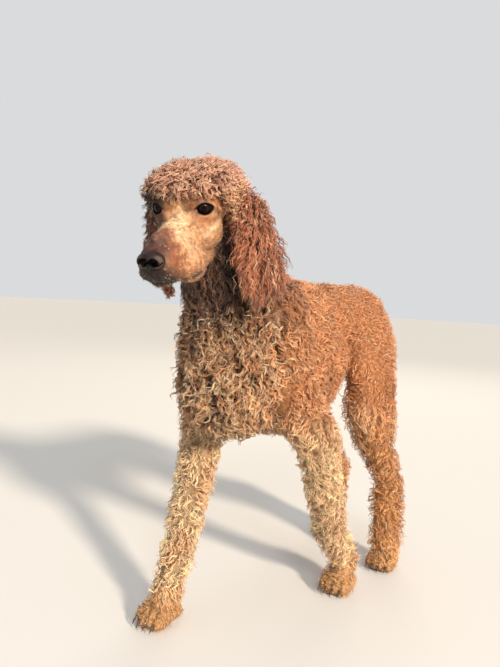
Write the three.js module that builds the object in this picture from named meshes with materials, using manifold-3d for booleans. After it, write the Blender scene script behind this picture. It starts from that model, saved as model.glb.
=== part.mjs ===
// A life-size standard poodle in mid-stride, in millimetres, with its right forefoot leading.
// +X is the dog's left, -Y is the way it walks and +Z is up. The floor is at Z 0.
// Flesh is a set of named masses blended into one another; the coat stands on it as clumps and locks.
import * as THREE from "three";
import { mergeVertices } from "three/addons/utils/BufferGeometryUtils.js";
import Module from "manifold-3d";

const wasm = await Module();
wasm.setup();

const v = (x, y, z) => new THREE.Vector3(x, y, z);

// Heights and half widths of the skin
const WITHERS = 600;
const CROUP = 584;
const BRISKET = 328;
const RIB_HALF_WIDTH = 86;
const RUMP_HALF_WIDTH = 74;
const WAIST = 52;

// The coat: how far it stands off the skin, and the rows of clumps along and around each form, with the half width
// and the length of one. The core under clumps reaches half way to their tips; with no rows it reaches all the way.
const COAT = {
  back: { depth: 12 },
  chest: { depth: 30, rows: 5, around: 9, width: 29, length: 64 },
  neck: { depth: 24, rows: 3, around: 5, width: 36, length: 64 },
  arm: { depth: 20, rows: 2, around: 3, width: 30, length: 58 },
  forearm: { depth: 18, rows: 3, around: 3, width: 27, length: 66 },
  thigh: { depth: 14 },
  shank: { depth: 18, rows: 2, around: 3, width: 28, length: 62 },
  hock: { depth: 18, rows: 2, around: 2, width: 24, length: 50 },
  paw: { depth: 6 },
  tail: { depth: 26, rows: 3, around: 2, width: 24, length: 58 },
  topknot: { depth: 26, rows: 4, around: 6, width: 24, length: 36 },
  ear: { depth: 16, rows: 3, around: 3, width: 13, length: 52 },
};

// Head sizes
const EYE_RADIUS = 11;
const EYE_APART = 64;
const LID_THICKNESS = 2.2;
const LID_HALF_WIDTH = 12;
const MUZZLE_LENGTH = 98;
const NOSE_HALF_WIDTH = 18;
const EAR_ROOT_HALF_WIDTH = 26;
const EAR_TIP_HALF_WIDTH = 38;
const CLAW = { length: 7, width: 2.6, thick: 3, rise: 12, sink: 6 };

// Pose: the head turns to the dog's left and nods, and each foot stands at its own place in the stride
const EYE_LINE = v(39, -368, 676);
const HEAD_TURN = THREE.MathUtils.degToRad(19);
const HEAD_NOD = THREE.MathUtils.degToRad(22);
const STANDING_POINT = v(4, -44, 0);
const FRONT_LEGS = {
  front_left: { shoulder: v(66, -140, 425), elbow: v(98, -82, 334), wrist: v(79, 24, 130), paw: 76 },
  front_right: { shoulder: v(-66, -172, 425), elbow: v(-92, -158, 325), wrist: v(-86, -212, 128), paw: -246 },
};
const HIND_LEGS = {
  hind_left: { side: 1, knee: v(86, 118, 348), hock: v(91, 258, 168), ankle: v(97, 252, 52), paw: 236 },
  hind_right: { side: -1, knee: v(-84, 150, 352), hock: v(-84, 332, 160), ankle: v(-86, 326, 52), paw: 308 },
};

// Touching nodes stay this far apart
const GAP = 0.35;

const coreDepth = ({ depth, rows = 0 }) => (rows > 0 ? depth * 0.5 : depth);
const smooth = THREE.MathUtils.smoothstep;
const bothSides = (centre, radii, turn) =>
  [1, -1].map((side) => ball(v(side * centre.x, centre.y, centre.z), radii, turn));

// A repeatable random draw from -1 to 1
function draws(seed) {
  let state = seed;
  return () => {
    state = (state * 1664525 + 1013904223) % 4294967296;
    return (state / 4294967296) * 2 - 1;
  };
}

// A mass is a function giving how far a point is outside it, negative inside.
function ball(centre, radii, turn = null) {
  const back = turn ? new THREE.Quaternion().setFromEuler(turn).invert() : null;
  return (p) => {
    const q = p.clone().sub(centre);
    if (back) q.applyQuaternion(back);
    const near = q.divide(radii).length();
    const far = q.divide(radii).length();
    return far < 1e-9 ? -Math.min(radii.x, radii.y, radii.z) : (near * (near - 1)) / far;
  };
}

// A tapered limb from a to b with a round end of radius ra or rb at each; flat scales it across X
function limb(a, ra, b, rb, flat = 1) {
  const axis = b.clone().sub(a);
  const length = axis.length();
  axis.divideScalar(length);
  const lean = (ra - rb) / length;
  const steep = Math.sqrt(1 - lean * lean);
  return (p) => {
    const q = p.clone().sub(a);
    const along = q.dot(axis);
    q.x = (q.x - axis.x * along) / flat + axis.x * along;
    const h = q.dot(axis);
    const out = Math.sqrt(Math.max(q.lengthSq() - h * h, 0));
    const mark = h - (out * lean) / steep;
    if (mark < 0) return Math.hypot(out, h) - ra;
    if (mark > length) return Math.hypot(out, h - length) - rb;
    return out * steep + h * lean - ra;
  };
}

// One field from many masses, rounded by blend where they meet
function flesh(masses, blend) {
  return (p) => {
    let d = Infinity;
    for (const mass of masses) {
      const next = mass(p);
      const near = Math.max(blend - Math.abs(d - next), 0);
      d = Math.min(d, next) - (near * near) / (4 * blend);
    }
    return d;
  };
}

// The outward normal of a field
function normalAt(field, p) {
  const slope = (axis) => field(p.clone().addScaledVector(axis, 1.5)) - field(p.clone().addScaledVector(axis, -1.5));
  return v(slope(v(1, 0, 0)), slope(v(0, 1, 0)), slope(v(0, 0, 1))).normalize();
}

// Walks from inside a field along a ray to the surface that lies outside it by depth(point)
function reach(field, from, way, depth) {
  let t = 0;
  for (let i = 0; i < 80; i++) {
    const p = from.clone().addScaledVector(way, t);
    const left = depth(p) - field(p);
    if (Math.abs(left) < 0.02) break;
    t = Math.max(t + left * 0.8, 0);
  }
  return from.clone().addScaledVector(way, t);
}

const even = (depth) => () => depth;

// A closed form: a sphere whose poles are the two ends, each vertex moved to place(along, round)
function form(sides, rings, place) {
  const sphere = new THREE.SphereGeometry(1, sides, rings);
  const { position, uv } = sphere.attributes;
  for (let i = 0; i < position.count; i++) {
    const p = place(1 - uv.getY(i), uv.getX(i) % 1);
    position.setXYZ(i, p.x, p.y, p.z);
  }
  return sphere;
}

// The surface of a field round a spine: rings square to the spine, and domes at its two ends
function sheath(field, spine, ahead, depth, dome = 0.14) {
  const curve = new THREE.CatmullRomCurve3(spine);
  return (along, round) => {
    const t = THREE.MathUtils.clamp((along - dome) / (1 - 2 * dome), 0, 1);
    const tilt = along < dome ? along / dome - 1 : along > 1 - dome ? 1 - (1 - along) / dome : 0;
    const tangent = curve.getTangentAt(t);
    const side = tangent.clone().cross(ahead).normalize();
    const front = side.clone().cross(tangent);
    const turn = round * 2 * Math.PI;
    const way = side.multiplyScalar(Math.cos(turn)).addScaledVector(front, Math.sin(turn));
    const lean = (tilt * Math.PI) / 2;
    way.multiplyScalar(Math.cos(lean)).addScaledVector(tangent, Math.sin(lean)).normalize();
    return reach(field, curve.getPointAt(t), way, depth);
  };
}

// A rounded clump of curls, half sunk in the coat's core and leaning over towards lie
function clump(root, out, lie, { width, length, high, sides = 5 }, grow) {
  const across = out.clone().cross(lie).normalize();
  const along = across.clone().cross(out).normalize();
  return form(sides, 3, (t, round) => {
    const turn = round * 2 * Math.PI;
    const level = [-8, -1.5, 0.72 * high, high][Math.round(t * 3)];
    const swell = [0, 1, 0.68, 0][Math.round(t * 3)];
    const spread = swell > 0 ? grow : 0;
    return root.clone()
      .addScaledVector(out, level + (t > 0.9 ? grow : t < 0.1 ? -grow : 0))
      .addScaledVector(across, Math.cos(turn) * (width * swell + spread))
      .addScaledVector(along, Math.sin(turn) * (length * 0.5 * swell + spread) + length * 0.12 * t);
  });
}

// A lock of hair: a bent spine that leaves the skin along out and then lies over towards lie
function lock(root, out, lie, size, grow) {
  const { sides = 4, rings = 5, taper = 0.8, wave = 0, waves = 1, droop = 0.6, phase = 0, sink = 10 } = size;
  const across = out.clone().cross(lie).normalize();
  const along = across.clone().cross(out).normalize();
  const start = root.clone().addScaledVector(out, -sink);
  const bend = root.clone().addScaledVector(out, size.rise).addScaledVector(along, size.length * 0.15);
  const end = root.clone().addScaledVector(out, size.rise * droop).addScaledVector(along, size.length * 0.8);
  const spine = new THREE.QuadraticBezierCurve3(start, bend, end);
  return form(sides, rings, (t, round) => {
    const swell = Math.pow(Math.sin(Math.PI * Math.pow(t, taper)), 0.6);
    const shift = Math.sin(t * waves * Math.PI + phase) * wave * t;
    const spread = grow * Math.sin(Math.PI * t);
    const turn = round * 2 * Math.PI;
    const tangent = spine.getTangent(t);
    const top = tangent.clone().cross(across).normalize();
    const tip = (t < 0.5 ? -grow : grow) * Math.abs(Math.cos(Math.PI * t));
    return spine.getPoint(t)
      .addScaledVector(across, Math.cos(turn) * (size.width * swell + spread) + shift)
      .addScaledVector(top, Math.sin(turn) * (size.thick * swell + spread))
      .addScaledVector(tangent, tip);
  });
}

// A closed geometry as a solid that can be joined and cut
function solid(geometry) {
  const bare = geometry.clone();
  bare.deleteAttribute("normal");
  bare.deleteAttribute("uv");
  const merged = mergeVertices(bare, 1e-3);
  const triVerts = new Uint32Array(merged.index.array);
  const make = () => new wasm.Manifold(new wasm.Mesh({
    numProp: 3,
    vertProperties: merged.attributes.position.array,
    triVerts,
  }));
  const made = make();
  if (made.volume() > 0) return made;
  for (let i = 0; i < triVerts.length; i += 3) [triVerts[i], triVerts[i + 1]] = [triVerts[i + 1], triVerts[i]];
  return make();
}

const join = (pieces) => pieces.reduce((whole, piece) => whole.add(piece));
const cut = (whole, others) => others.reduce((left, other) => left.subtract(other), whole);
const largest = (bodies) => bodies.reduce((best, body) => (body.volume() > best.volume() ? body : best));

// A block that covers everything past the level on one axis, towards way
function beyond(axis, level, way) {
  const block = new THREE.BoxGeometry(2000, 2000, 2000);
  const centre = v(0, 0, 0).setComponent(axis, level + way * 1000);
  block.translate(centre.x, centre.y, centre.z);
  return solid(block);
}
const UNDER_FLOOR = beyond(2, 0, -1);

// Staggered rows of clumps over a sheath; keep(root, out) leaves out those not wanted
function coat(at, field, size, [from, to], lieAt, seed, grow, keep = () => true) {
  const draw = draws(seed);
  const clumps = [];
  const { rows = 0, around } = size;
  const high = size.depth * 0.5;
  const pitch = (to - from) / rows;
  for (let row = 0; row < rows; row++) {
    for (let i = 0; i < around; i++) {
      const round = (i + (row % 2) * 0.5 + 0.16 * draw() + 1) / around;
      const root = at(from + pitch * (row + 0.5 + 0.2 * draw()), round % 1);
      const out = normalAt(field, root);
      const scale = 1 + 0.14 * draw();
      const own = { width: size.width * scale, length: size.length * scale, high: high * scale };
      if (keep(root, out)) clumps.push(solid(clump(root, out, lieAt(root, out), own, grow)));
    }
  }
  return clumps;
}
const down = () => v(0, 0.05, -1);

// Each node has a core and, where the coat is long, clumps or locks on it. Both are made again grown by the gap
// to cut the nodes next to them.
const nodes = [];
function node(name, group, material, core, hair = () => [], detail = null) {
  nodes.push({ name, group, material, core, hair, detail });
}

// Finishes, as the coat and bare parts look in low sun
const finish = (color, roughness) => new THREE.MeshStandardMaterial({ color, roughness, metalness: 0 });
const COAT_COLOUR = finish(0xb0713f, 0.85);
const LEG_COLOUR = finish(0xc48c5a, 0.85);
const FACE_COLOUR = finish(0xc58a57, 0.8);
const EAR_COLOUR = finish(0x94522c, 0.85);
const NOSE_COLOUR = finish(0x2b1c1a, 0.4);
const EYE_COLOUR = finish(0x2a150c, 0.1);

const dog = new THREE.Group();
dog.position.copy(STANDING_POINT).negate();
const headFrame = new THREE.Group();
headFrame.position.copy(EYE_LINE);
headFrame.rotation.set(HEAD_NOD, 0, HEAD_TURN, "ZXY");
headFrame.updateMatrix();
dog.add(headFrame);

// Trunk: ribs, forechest, shoulders, loin and rump
const ribs = ball(v(0, -60, (WITHERS + BRISKET) / 2 - 1), v(RIB_HALF_WIDTH, 185, (WITHERS - BRISKET) / 2));
const foreChest = ball(v(0, -196, 432), v(70, 62, 92));
const shoulderBlades = bothSides(v(60, -138, 480), v(34, 58, 104));
const loinMass = limb(v(0, 60, CROUP - 72), 70, v(0, 170, CROUP - 66), 64);
const rump = ball(v(0, 190, CROUP - 78), v(RUMP_HALF_WIDTH, 84, 78));
const trunk = flesh([ribs, foreChest, ...shoulderBlades, loinMass, rump], 36);
const trunkSpine = [v(0, -205, 440), v(0, -130, 462), v(0, -40, 468), v(0, 60, 488), v(0, 130, 506), v(0, 198, 508)];

// The coat is short along the back and flanks and long on the forechest and brisket
function trunkAt(grow) {
  const extra = Math.max(coreDepth(COAT.chest) - COAT.back.depth, 0);
  const depth = (p) => {
    const front = smooth(-p.y, 90, 190) * (1 - smooth(p.z, 520, 590));
    const under = smooth(-p.z, -400, -350) * smooth(-p.y, -60, 40) * 0.2;
    return COAT.back.depth + extra * Math.max(front, under) + grow;
  };
  return sheath(trunk, trunkSpine, v(0, 0, 1), depth);
}
const trunkForm = (grow) => solid(form(22, 20, trunkAt(grow)));
const onForeChest = (p, out) => p.y < -140 && out.y < -0.1;

node("chest", dog, COAT_COLOUR,
  (grow) => cut(trunkForm(grow), [beyond(1, WAIST + grow, 1)]),
  (grow) => coat(trunkAt(0), trunk, COAT.chest, [0.03, 0.48], down, 11, grow, onForeChest));
node("loin", dog, COAT_COLOUR, (grow) => cut(trunkForm(grow), [beyond(1, WAIST - grow, -1)]));

// Neck
const neckTop = v(12, -284, 674);
const neckField = flesh([limb(v(-2, -152, 498), 90, neckTop, 50, 0.92)], 20);
const neckAt = (grow) =>
  sheath(neckField, [v(0, -160, 508), v(3, -218, 590), neckTop], v(0, -1, 0), even(coreDepth(COAT.neck) + grow));
node("neck", dog, COAT_COLOUR,
  (grow) => solid(form(16, 9, neckAt(grow))),
  (grow) => coat(neckAt(0), neckField, COAT.neck, [0.3, 0.86], down, 23, grow));

// The head has its own frame: X is the dog's left, -Y runs to the nose and the eyes lie on the X axis.
const inHead = (made) => made.transform([...headFrame.matrix.elements]);

// Topknot: a cap of clumps from the brow to the nape
const temples = bothSides(v(51, 46, 21), v(20, 36, 19));
const capField = flesh([ball(v(0, 54, 33), v(52, 58, 19)), ...temples, ball(v(0, 88, 16), v(46, 42, 32))], 16);
function capAt(grow) {
  const depth = coreDepth(COAT.topknot) - COAT.topknot.depth * 0.5 + 2 + grow;
  return sheath(capField, [v(0, 28, 34), v(0, 60, 32), v(0, 92, 20)], v(0, 0, 1), even(depth), 0.25);
}
const offTheFace = (p, out) => out.z > -0.5 && p.z > 8;
const combed = (p) => v(p.x * 0.4, p.y - 40, -20);
node("topknot", headFrame, COAT_COLOUR,
  (grow) => inHead(solid(form(16, 10, capAt(grow)))),
  (grow) => coat(capAt(0), capField, COAT.topknot, [0.03, 0.97], combed, 5, grow, offTheFace).map(inHead));

// Nose leather with its two nostrils
const noseField = flesh([ball(v(0, -104, -38), v(NOSE_HALF_WIDTH, 17, 14)), ball(v(0, -104, -48), v(8, 12, 10))], 8);
function nostrils(pad) {
  const holes = [1, -1].map((side) => {
    const hole = new THREE.SphereGeometry(1, 7, 5);
    hole.scale(4.6, 9, 3.6);
    hole.rotateY(side * 0.35);
    hole.rotateZ(side * 0.5);
    hole.translate(side * 9.5, -120, -40);
    return inHead(solid(hole));
  });
  return cut(pad, holes);
}
node("nose", headFrame, NOSE_COLOUR,
  (grow) => inHead(solid(form(12, 8, sheath(noseField, [v(0, -96, -39), v(0, -108, -39)], v(0, 0, 1), even(grow))))),
  undefined, nostrils);

// Lower jaw, which the lips overlap
const jawField = flesh([limb(v(0, -88, -70), 13, v(0, 24, -68), 25, 1.3), ball(v(0, -92, -73), v(16, 13, 9))], 10);
const jawSpine = [v(0, 28, -66), v(0, -20, -67), v(0, -84, -68)];
node("lower_jaw", headFrame, FACE_COLOUR,
  (grow) => inHead(solid(form(14, 12, sheath(jawField, jawSpine, v(0, 0, 1), even(grow))))));

// Head: skull, cheeks, brows, muzzle and lips, with lids over the eyes
const skull = ball(v(0, 58, -2), v(48, 60, 42));
const cheeks = bothSides(v(31, 34, -32), v(18, 40, 32));
const orbits = bothSides(v(28, 9, -4), v(20, 20, 19));
const brows = bothSides(v(20, 10, 11), v(20, 22, 13));
const muzzle = limb(v(0, -4, -36), 34, v(0, -MUZZLE_LENGTH + 6, -47), 24, 1.02);
const bridge = ball(v(0, -48, -21), v(14, 50, 9), new THREE.Euler(-0.1, 0, 0));
const flews = [...bothSides(v(15, -76, -58), v(15, 34, 18)), ...bothSides(v(23, -38, -63), v(17, 39, 25))];
const throat = limb(v(0, 30, -46), 34, v(0, 78, -40), 44);
const headField = flesh([skull, ...cheeks, ...orbits, ...brows, muzzle, bridge, ...flews, throat], 18);
const headSpine = [v(0, 66, -12), v(0, 30, -16), v(0, -6, -30), v(0, -50, -40), v(0, -86, -46)];

const eyeCentre = (side) => v((side * EYE_APART) / 2, 4, 0);
function eyeBall(side, radius, detail) {
  const eye = new THREE.SphereGeometry(radius, detail * 2, detail);
  eye.rotateX(Math.PI / 2);
  const middle = eyeCentre(side);
  eye.translate(middle.x, middle.y, middle.z);
  return inHead(solid(eye));
}

// The almond opening between the lids, run outwards from the middle of the eye
function lidOpening(side) {
  const inner = -side * LID_HALF_WIDTH;
  const almond = new THREE.Shape();
  almond.moveTo(inner, -2);
  almond.quadraticCurveTo(0, 16, -inner, 0);
  almond.quadraticCurveTo(0, -14, inner, -2);
  const prism = new THREE.ExtrudeGeometry(almond, { depth: 30, bevelEnabled: false, curveSegments: 5 });
  prism.rotateX(Math.PI / 2);
  prism.rotateZ(side * 0.46);
  const middle = eyeCentre(side);
  prism.translate(middle.x, middle.y, middle.z);
  return inHead(solid(prism));
}
function lids(core) {
  const whole = join([core, ...[1, -1].map((side) => eyeBall(side, EYE_RADIUS + LID_THICKNESS, 7))]);
  return cut(whole, [1, -1].flatMap((side) => [eyeBall(side, EYE_RADIUS + 2.5 * GAP, 6), lidOpening(side)]));
}
for (const [side, word] of [[1, "left"], [-1, "right"]]) {
  node(`eye_${word}`, headFrame, EYE_COLOUR, (grow) => eyeBall(side, EYE_RADIUS + grow, 6));
}
node("head", headFrame, FACE_COLOUR,
  (grow) => inHead(solid(form(26, 23, sheath(headField, headSpine, v(0, 0, 1), even(grow), 0.12)))),
  undefined, lids);

// Ears: each a leather cupped towards the cheek, with tiers of wavy locks; the left one swings out
const hang = new THREE.Vector3(0, -Math.sin(HEAD_NOD), -Math.cos(HEAD_NOD));
const EARS = {
  left: {
    side: 1, seed: 31, across: v(0.75, 0.66, 0),
    path: [v(57, 65, 19), v(80, 55, -20), v(97, 38, -70), v(101, 20, -122)],
  },
  right: {
    side: -1, seed: 37, across: v(-0.5, 0.86, 0),
    path: [v(-54, 64, 19), v(-66, 50, -22), v(-63, 25, -78), v(-43, 3, -124)],
  },
};
function earAt({ side, path, across }, grow) {
  const spine = new THREE.CatmullRomCurve3(path);
  const wide = across.clone().addScaledVector(hang, -across.dot(hang)).normalize();
  const outward = wide.clone().cross(hang).multiplyScalar(-side).normalize();
  const plain = COAT.ear.rows > 0 ? 0 : COAT.ear.depth;
  return (along, round) => {
    const open = Math.max(Math.sin(Math.PI * along), 0);
    const swell = open < 1e-6 ? 0 : Math.sqrt(1 - Math.pow(2 * along - 1, 6));
    const width = THREE.MathUtils.lerp(EAR_ROOT_HALF_WIDTH, EAR_TIP_HALF_WIDTH, along) * swell + grow * open;
    const turn = round * 2 * Math.PI;
    const share = Math.cos(turn);
    const thick = Math.sin(turn) > 0 ? 6 + plain : 5 + plain * 0.25;
    const lift = Math.sin(turn) * (thick * swell + grow * open) - 9 * share * share * swell;
    return spine.getPointAt(along).addScaledVector(wide, share * width)
      .addScaledVector(outward, lift).addScaledVector(hang, (along - 0.5) * 2 * grow);
  };
}
function earLocks(ear, grow) {
  const { rows, around, width, length, depth } = COAT.ear;
  const at = earAt(ear, 0);
  const draw = draws(ear.seed);
  const locks = [];
  for (let tier = 0; tier < rows; tier++) {
    for (let i = 0; i < around; i++) {
      const along = 0.1 + (0.72 * tier) / rows;
      const round = 0.04 + (0.42 * (i + (tier % 2) * 0.4)) / (around - 0.6);
      const root = at(along, round);
      const out = root.clone().sub(at(along, 1 - round)).normalize();
      const own = { width, thick: depth * 0.5, rise: depth * 0.7, sink: 5, droop: 0.9, sides: 4, rings: 4 };
      Object.assign(own, { wave: 5, waves: 2.5, phase: draw() * 3, length: length * (1.1 + 0.12 * draw()) });
      locks.push(inHead(solid(lock(root, out, hang, own, grow))));
    }
  }
  return locks;
}
for (const [word, ear] of Object.entries(EARS)) {
  node(`ear_${word}`, headFrame, EAR_COLOUR,
    (grow) => inHead(solid(form(10, 12, earAt(ear, grow)))), (grow) => earLocks(ear, grow));
}

// A stretch of a leg: its field, its spine and the coat on it
function stretch(name, material, masses, spine, size, [sides, rings], [from, to], seed, keep) {
  const field = flesh(masses, 20);
  const at = (grow) => sheath(field, spine, v(0, -1, 0), even(coreDepth(size) + grow));
  node(name, dog, material,
    (grow) => cut(solid(form(sides, rings, at(grow))), [UNDER_FLOOR]),
    (grow) => coat(at(0), field, size, [from, to], down, seed, grow, keep));
}

// Paw: four toes under a short coat, claws and a flat sole
function paw(name, x, ahead) {
  const middle = v(x, ahead, 24);
  const toeAt = (i) => middle.clone().add(v(i * 14, 4 * Math.abs(i), -6));
  const across = [-1.5, -0.5, 0.5, 1.5];
  const toes = across.map((i) => ball(toeAt(i).add(v(0, -24, 0)), v(10, 20, 15)));
  const top = limb(middle.clone().add(v(0, -2, 6)), 25, v(x, ahead + 10, 58), 19);
  const heel = ball(middle.clone().add(v(0, 14, -8)), v(24, 22, 16));
  const field = flesh([...toes, top, heel], 9);
  const spine = [middle.clone().add(v(0, 10, 8)), middle.clone().add(v(0, -16, 0))];
  const pad = (grow) => solid(form(10, 8, sheath(field, spine, v(0, 0, 1), even(COAT.paw.depth + grow))));
  const claws = (grow) => across.map((i) =>
    solid(lock(toeAt(i).add(v(0, -44, 0)), v(0, -1, 0.2), v(0, -0.3, -1), { ...CLAW, sides: 4, rings: 3 }, grow)));
  node(name, dog, LEG_COLOUR, (grow) => cut(join([pad(grow), ...claws(grow)]), grow > 0 ? [] : [UNDER_FLOOR]));
}

for (const [leg, { shoulder, elbow, wrist, paw: ahead }] of Object.entries(FRONT_LEGS)) {
  const instep = v(wrist.x, ahead + 10, 58);
  const outer = (p, out) => out.x * shoulder.x > -20;
  stretch(`${leg}_upper_arm`, COAT_COLOUR, [limb(shoulder, 50, elbow, 34, 0.8)], [shoulder, elbow],
    COAT.arm, [12, 8], [0.3, 0.86], 41, outer);
  stretch(`${leg}_forearm`, LEG_COLOUR, [limb(elbow, 27, wrist, 18), limb(wrist, 18, instep, 17)],
    [elbow, wrist, instep], COAT.forearm, [10, 10], [0.12, 0.9], 43);
  paw(`${leg}_paw`, wrist.x, ahead);
}

for (const [leg, { side, knee, hock, ankle, paw: ahead }] of Object.entries(HIND_LEGS)) {
  const hip = v(side * 58, 178, 462);
  const muscle = ball(v(side * 64, 174, 442), v(36, 78, 104));
  const heel = ball(hock.clone().add(v(0, 8, 2)), v(14, 16, 24));
  const outer = (p, out) => out.x * side > -0.3;
  stretch(`${leg}_thigh`, COAT_COLOUR, [muscle, limb(hip, 56, knee, 36, 0.8)], [hip, knee.clone().lerp(hip, 0.1)],
    COAT.thigh, [14, 10], [0.1, 0.9], 47, outer);
  stretch(`${leg}_shank`, LEG_COLOUR, [limb(knee, 36, hock, 19, 0.9)], [knee, hock.clone().lerp(knee, 0.12)],
    COAT.shank, [10, 9], [0.14, 0.88], 53);
  stretch(`${leg}_hock`, LEG_COLOUR, [heel, limb(hock, 18, ankle, 17)], [hock, ankle],
    COAT.hock, [10, 9], [0.2, 0.9], 59);
  paw(`${leg}_paw`, ankle.x, ahead);
}

// Tail, hanging behind the thighs
const tailSpine = [v(0, 236, 548), v(0, 276, 516), v(0, 300, 450), v(0, 306, 380), v(0, 306, 352)];
const tailField = flesh([
  limb(tailSpine[0], 22, tailSpine[1], 17), limb(tailSpine[1], 17, tailSpine[2], 13), limb(tailSpine[2], 13, tailSpine[4], 8),
], 14);
const tailAt = (grow) => sheath(tailField, tailSpine, v(1, 0, 0), even(coreDepth(COAT.tail) + grow));
node("tail", dog, COAT_COLOUR,
  (grow) => solid(form(10, 12, tailAt(grow))),
  (grow) => coat(tailAt(0), tailField, COAT.tail, [0.2, 0.94], down, 61, grow));

// Cuts each node clear of those before it, and its hair clear of every core, and keeps its largest closed surface
const grown = nodes.map(({ core, hair }) => ({ core: core(GAP), hair: hair(GAP) }));
nodes.forEach(({ name, group, material, core, hair, detail }, i) => {
  const before = grown.slice(0, i);
  const body = cut(core(0), before.map((other) => other.core));
  const others = grown.filter((other, j) => j !== i).map((other) => other.core);
  const strands = hair(0).map((strand) => cut(strand, [...others, ...before.flatMap((other) => other.hair)]));
  const joined = join([detail ? detail(body) : body, ...strands.filter((strand) => !strand.isEmpty())]);
  add(group, name, largest(joined.decompose()), material);
});

// Turns a solid back into a mesh under its group
function add(group, name, made, material) {
  const { numProp, numVert, vertProperties, triVerts } = made.getMesh();
  const position = new Float32Array(numVert * 3);
  for (let i = 0; i < numVert; i++) position.set(vertProperties.subarray(i * numProp, i * numProp + 3), i * 3);
  const geometry = new THREE.BufferGeometry();
  geometry.setAttribute("position", new THREE.BufferAttribute(position, 3));
  geometry.setIndex(new THREE.BufferAttribute(triVerts, 1));
  if (group === headFrame) geometry.applyMatrix4(headFrame.matrix.clone().invert());
  geometry.computeVertexNormals();
  const mesh = new THREE.Mesh(geometry, material);
  mesh.name = name;
  group.add(mesh);
}

export default dog;
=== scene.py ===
# A life-size standard poodle in mid-stride: one skin, wet eyes, a leather nose and a coat of solid curls.
import math

import bmesh
import bpy
import numpy as np
from mathutils import Matrix, Vector, noise
from mathutils.kdtree import KDTree


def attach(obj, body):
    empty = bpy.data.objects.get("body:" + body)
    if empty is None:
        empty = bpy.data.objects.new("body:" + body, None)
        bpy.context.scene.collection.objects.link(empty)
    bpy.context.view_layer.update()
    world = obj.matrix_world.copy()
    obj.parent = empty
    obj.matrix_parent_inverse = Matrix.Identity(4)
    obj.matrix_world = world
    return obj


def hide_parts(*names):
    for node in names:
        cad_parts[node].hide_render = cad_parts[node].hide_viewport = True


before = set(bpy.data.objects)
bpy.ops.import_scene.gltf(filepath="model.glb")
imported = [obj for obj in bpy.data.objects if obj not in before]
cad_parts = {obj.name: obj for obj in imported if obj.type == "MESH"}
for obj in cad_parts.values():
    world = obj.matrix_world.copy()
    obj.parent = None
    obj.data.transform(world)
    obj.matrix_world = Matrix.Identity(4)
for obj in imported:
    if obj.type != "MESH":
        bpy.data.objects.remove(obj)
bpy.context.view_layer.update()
print("packed solids loaded")

# Pieces are modelled in millimetres, in the dog's frame or in its head's, and placed in metres at the end.
millimetre = 0.001
pose = {
    "standingPoint": Vector((4, -44, 0)),
    "eyeLine": Vector((38, -368, 676)),
    "headTurn": math.radians(20.5),
    "headNod": math.radians(22),
}
toRow = Matrix.Scale(millimetre, 4) @ Matrix.Translation(-pose["standingPoint"])
headTilt = Matrix.Rotation(pose["headTurn"], 4, "Z") @ Matrix.Rotation(pose["headNod"], 4, "X")
headPlace = toRow @ Matrix.Translation(pose["eyeLine"]) @ headTilt


# From an sRGB hex code to linear colour
def hexColour(code):
    channels = [int(code[i:i + 2], 16) / 255 for i in (1, 3, 5)]
    return np.array([c / 12.92 if c <= 0.04045 else ((c + 0.055) / 1.055) ** 2.4 for c in channels])


# One shader node; an input that is another node's socket is linked, and any other is set
def addNode(tree, kind, inputs=None, **settings):
    node = tree.nodes.new("ShaderNode" + kind)
    for key, value in settings.items():
        setattr(node, key, value)
    for key, value in (inputs or {}).items():
        if isinstance(value, bpy.types.NodeSocket):
            tree.links.new(value, node.inputs[key])
        else:
            node.inputs[key].default_value = value
    return node


def deselectAll():
    if bpy.context.object and bpy.context.object.mode != "OBJECT":
        bpy.ops.object.mode_set(mode="OBJECT")
    bpy.ops.object.select_all(action="DESELECT")


def activate(piece):
    deselectAll()
    piece.select_set(True)
    bpy.context.view_layer.objects.active = piece


def useModifier(piece, kind, **settings):
    activate(piece)
    modifier = piece.modifiers.new(kind.title(), kind)
    for key, value in settings.items():
        setattr(modifier, key, value)
    bpy.ops.object.modifier_apply(modifier=modifier.name)


def ball(centre, radii, turn=(0, 0, 0), segments=32):
    deselectAll()
    bpy.ops.mesh.primitive_uv_sphere_add(segments=segments, ring_count=segments // 2, radius=1,
                                         location=centre, rotation=turn, scale=radii)
    return bpy.context.object


# Selects, in edit mode, the part of a shape above a height, ready to be moved or resized
def selectAbove(piece, height):
    bpy.ops.object.mode_set(mode="EDIT")
    bpy.ops.mesh.select_all(action="DESELECT")
    shape = bmesh.from_edit_mesh(piece.data)
    for vert in shape.verts:
        vert.select = vert.co.z > height
    shape.select_flush(True)
    bmesh.update_edit_mesh(piece.data)


# A ball whose far half is pulled out and resized, which makes a tapered limb with round ends
def limb(start, startRadius, end, endRadius, flat=1, segments=28):
    start, end = Vector(start), Vector(end)
    axis = end - start
    deselectAll()
    bpy.ops.mesh.primitive_uv_sphere_add(segments=segments, ring_count=segments // 2, radius=startRadius)
    made = bpy.context.object
    selectAbove(made, 0.01)
    size = endRadius / startRadius
    bpy.ops.transform.resize(value=(size, size, size), center_override=(0, 0, 0))
    bpy.ops.transform.translate(value=(0, 0, axis.length))
    bpy.ops.object.mode_set(mode="OBJECT")
    up = axis.normalized()
    side = Vector((1, 0, 0)) - up * up.x
    side.normalize()
    turn = Matrix((side, up.cross(side), up)).transposed().to_4x4()
    made.matrix_world = Matrix.Translation(start) @ turn @ Matrix.Diagonal((flat, 1, 1, 1))
    return made


# One for the dog's left and one for its right
def bothSides(build):
    return [build(1), build(-1)]


def joined(name, pieces):
    deselectAll()
    for piece in pieces:
        piece.select_set(True)
    bpy.context.view_layer.objects.active = pieces[0]
    if len(pieces) > 1:
        bpy.ops.object.join()
    bpy.ops.object.transform_apply(location=True, rotation=True, scale=True)
    whole = bpy.context.object
    whole.name = whole.data.name = name
    return whole


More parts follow.
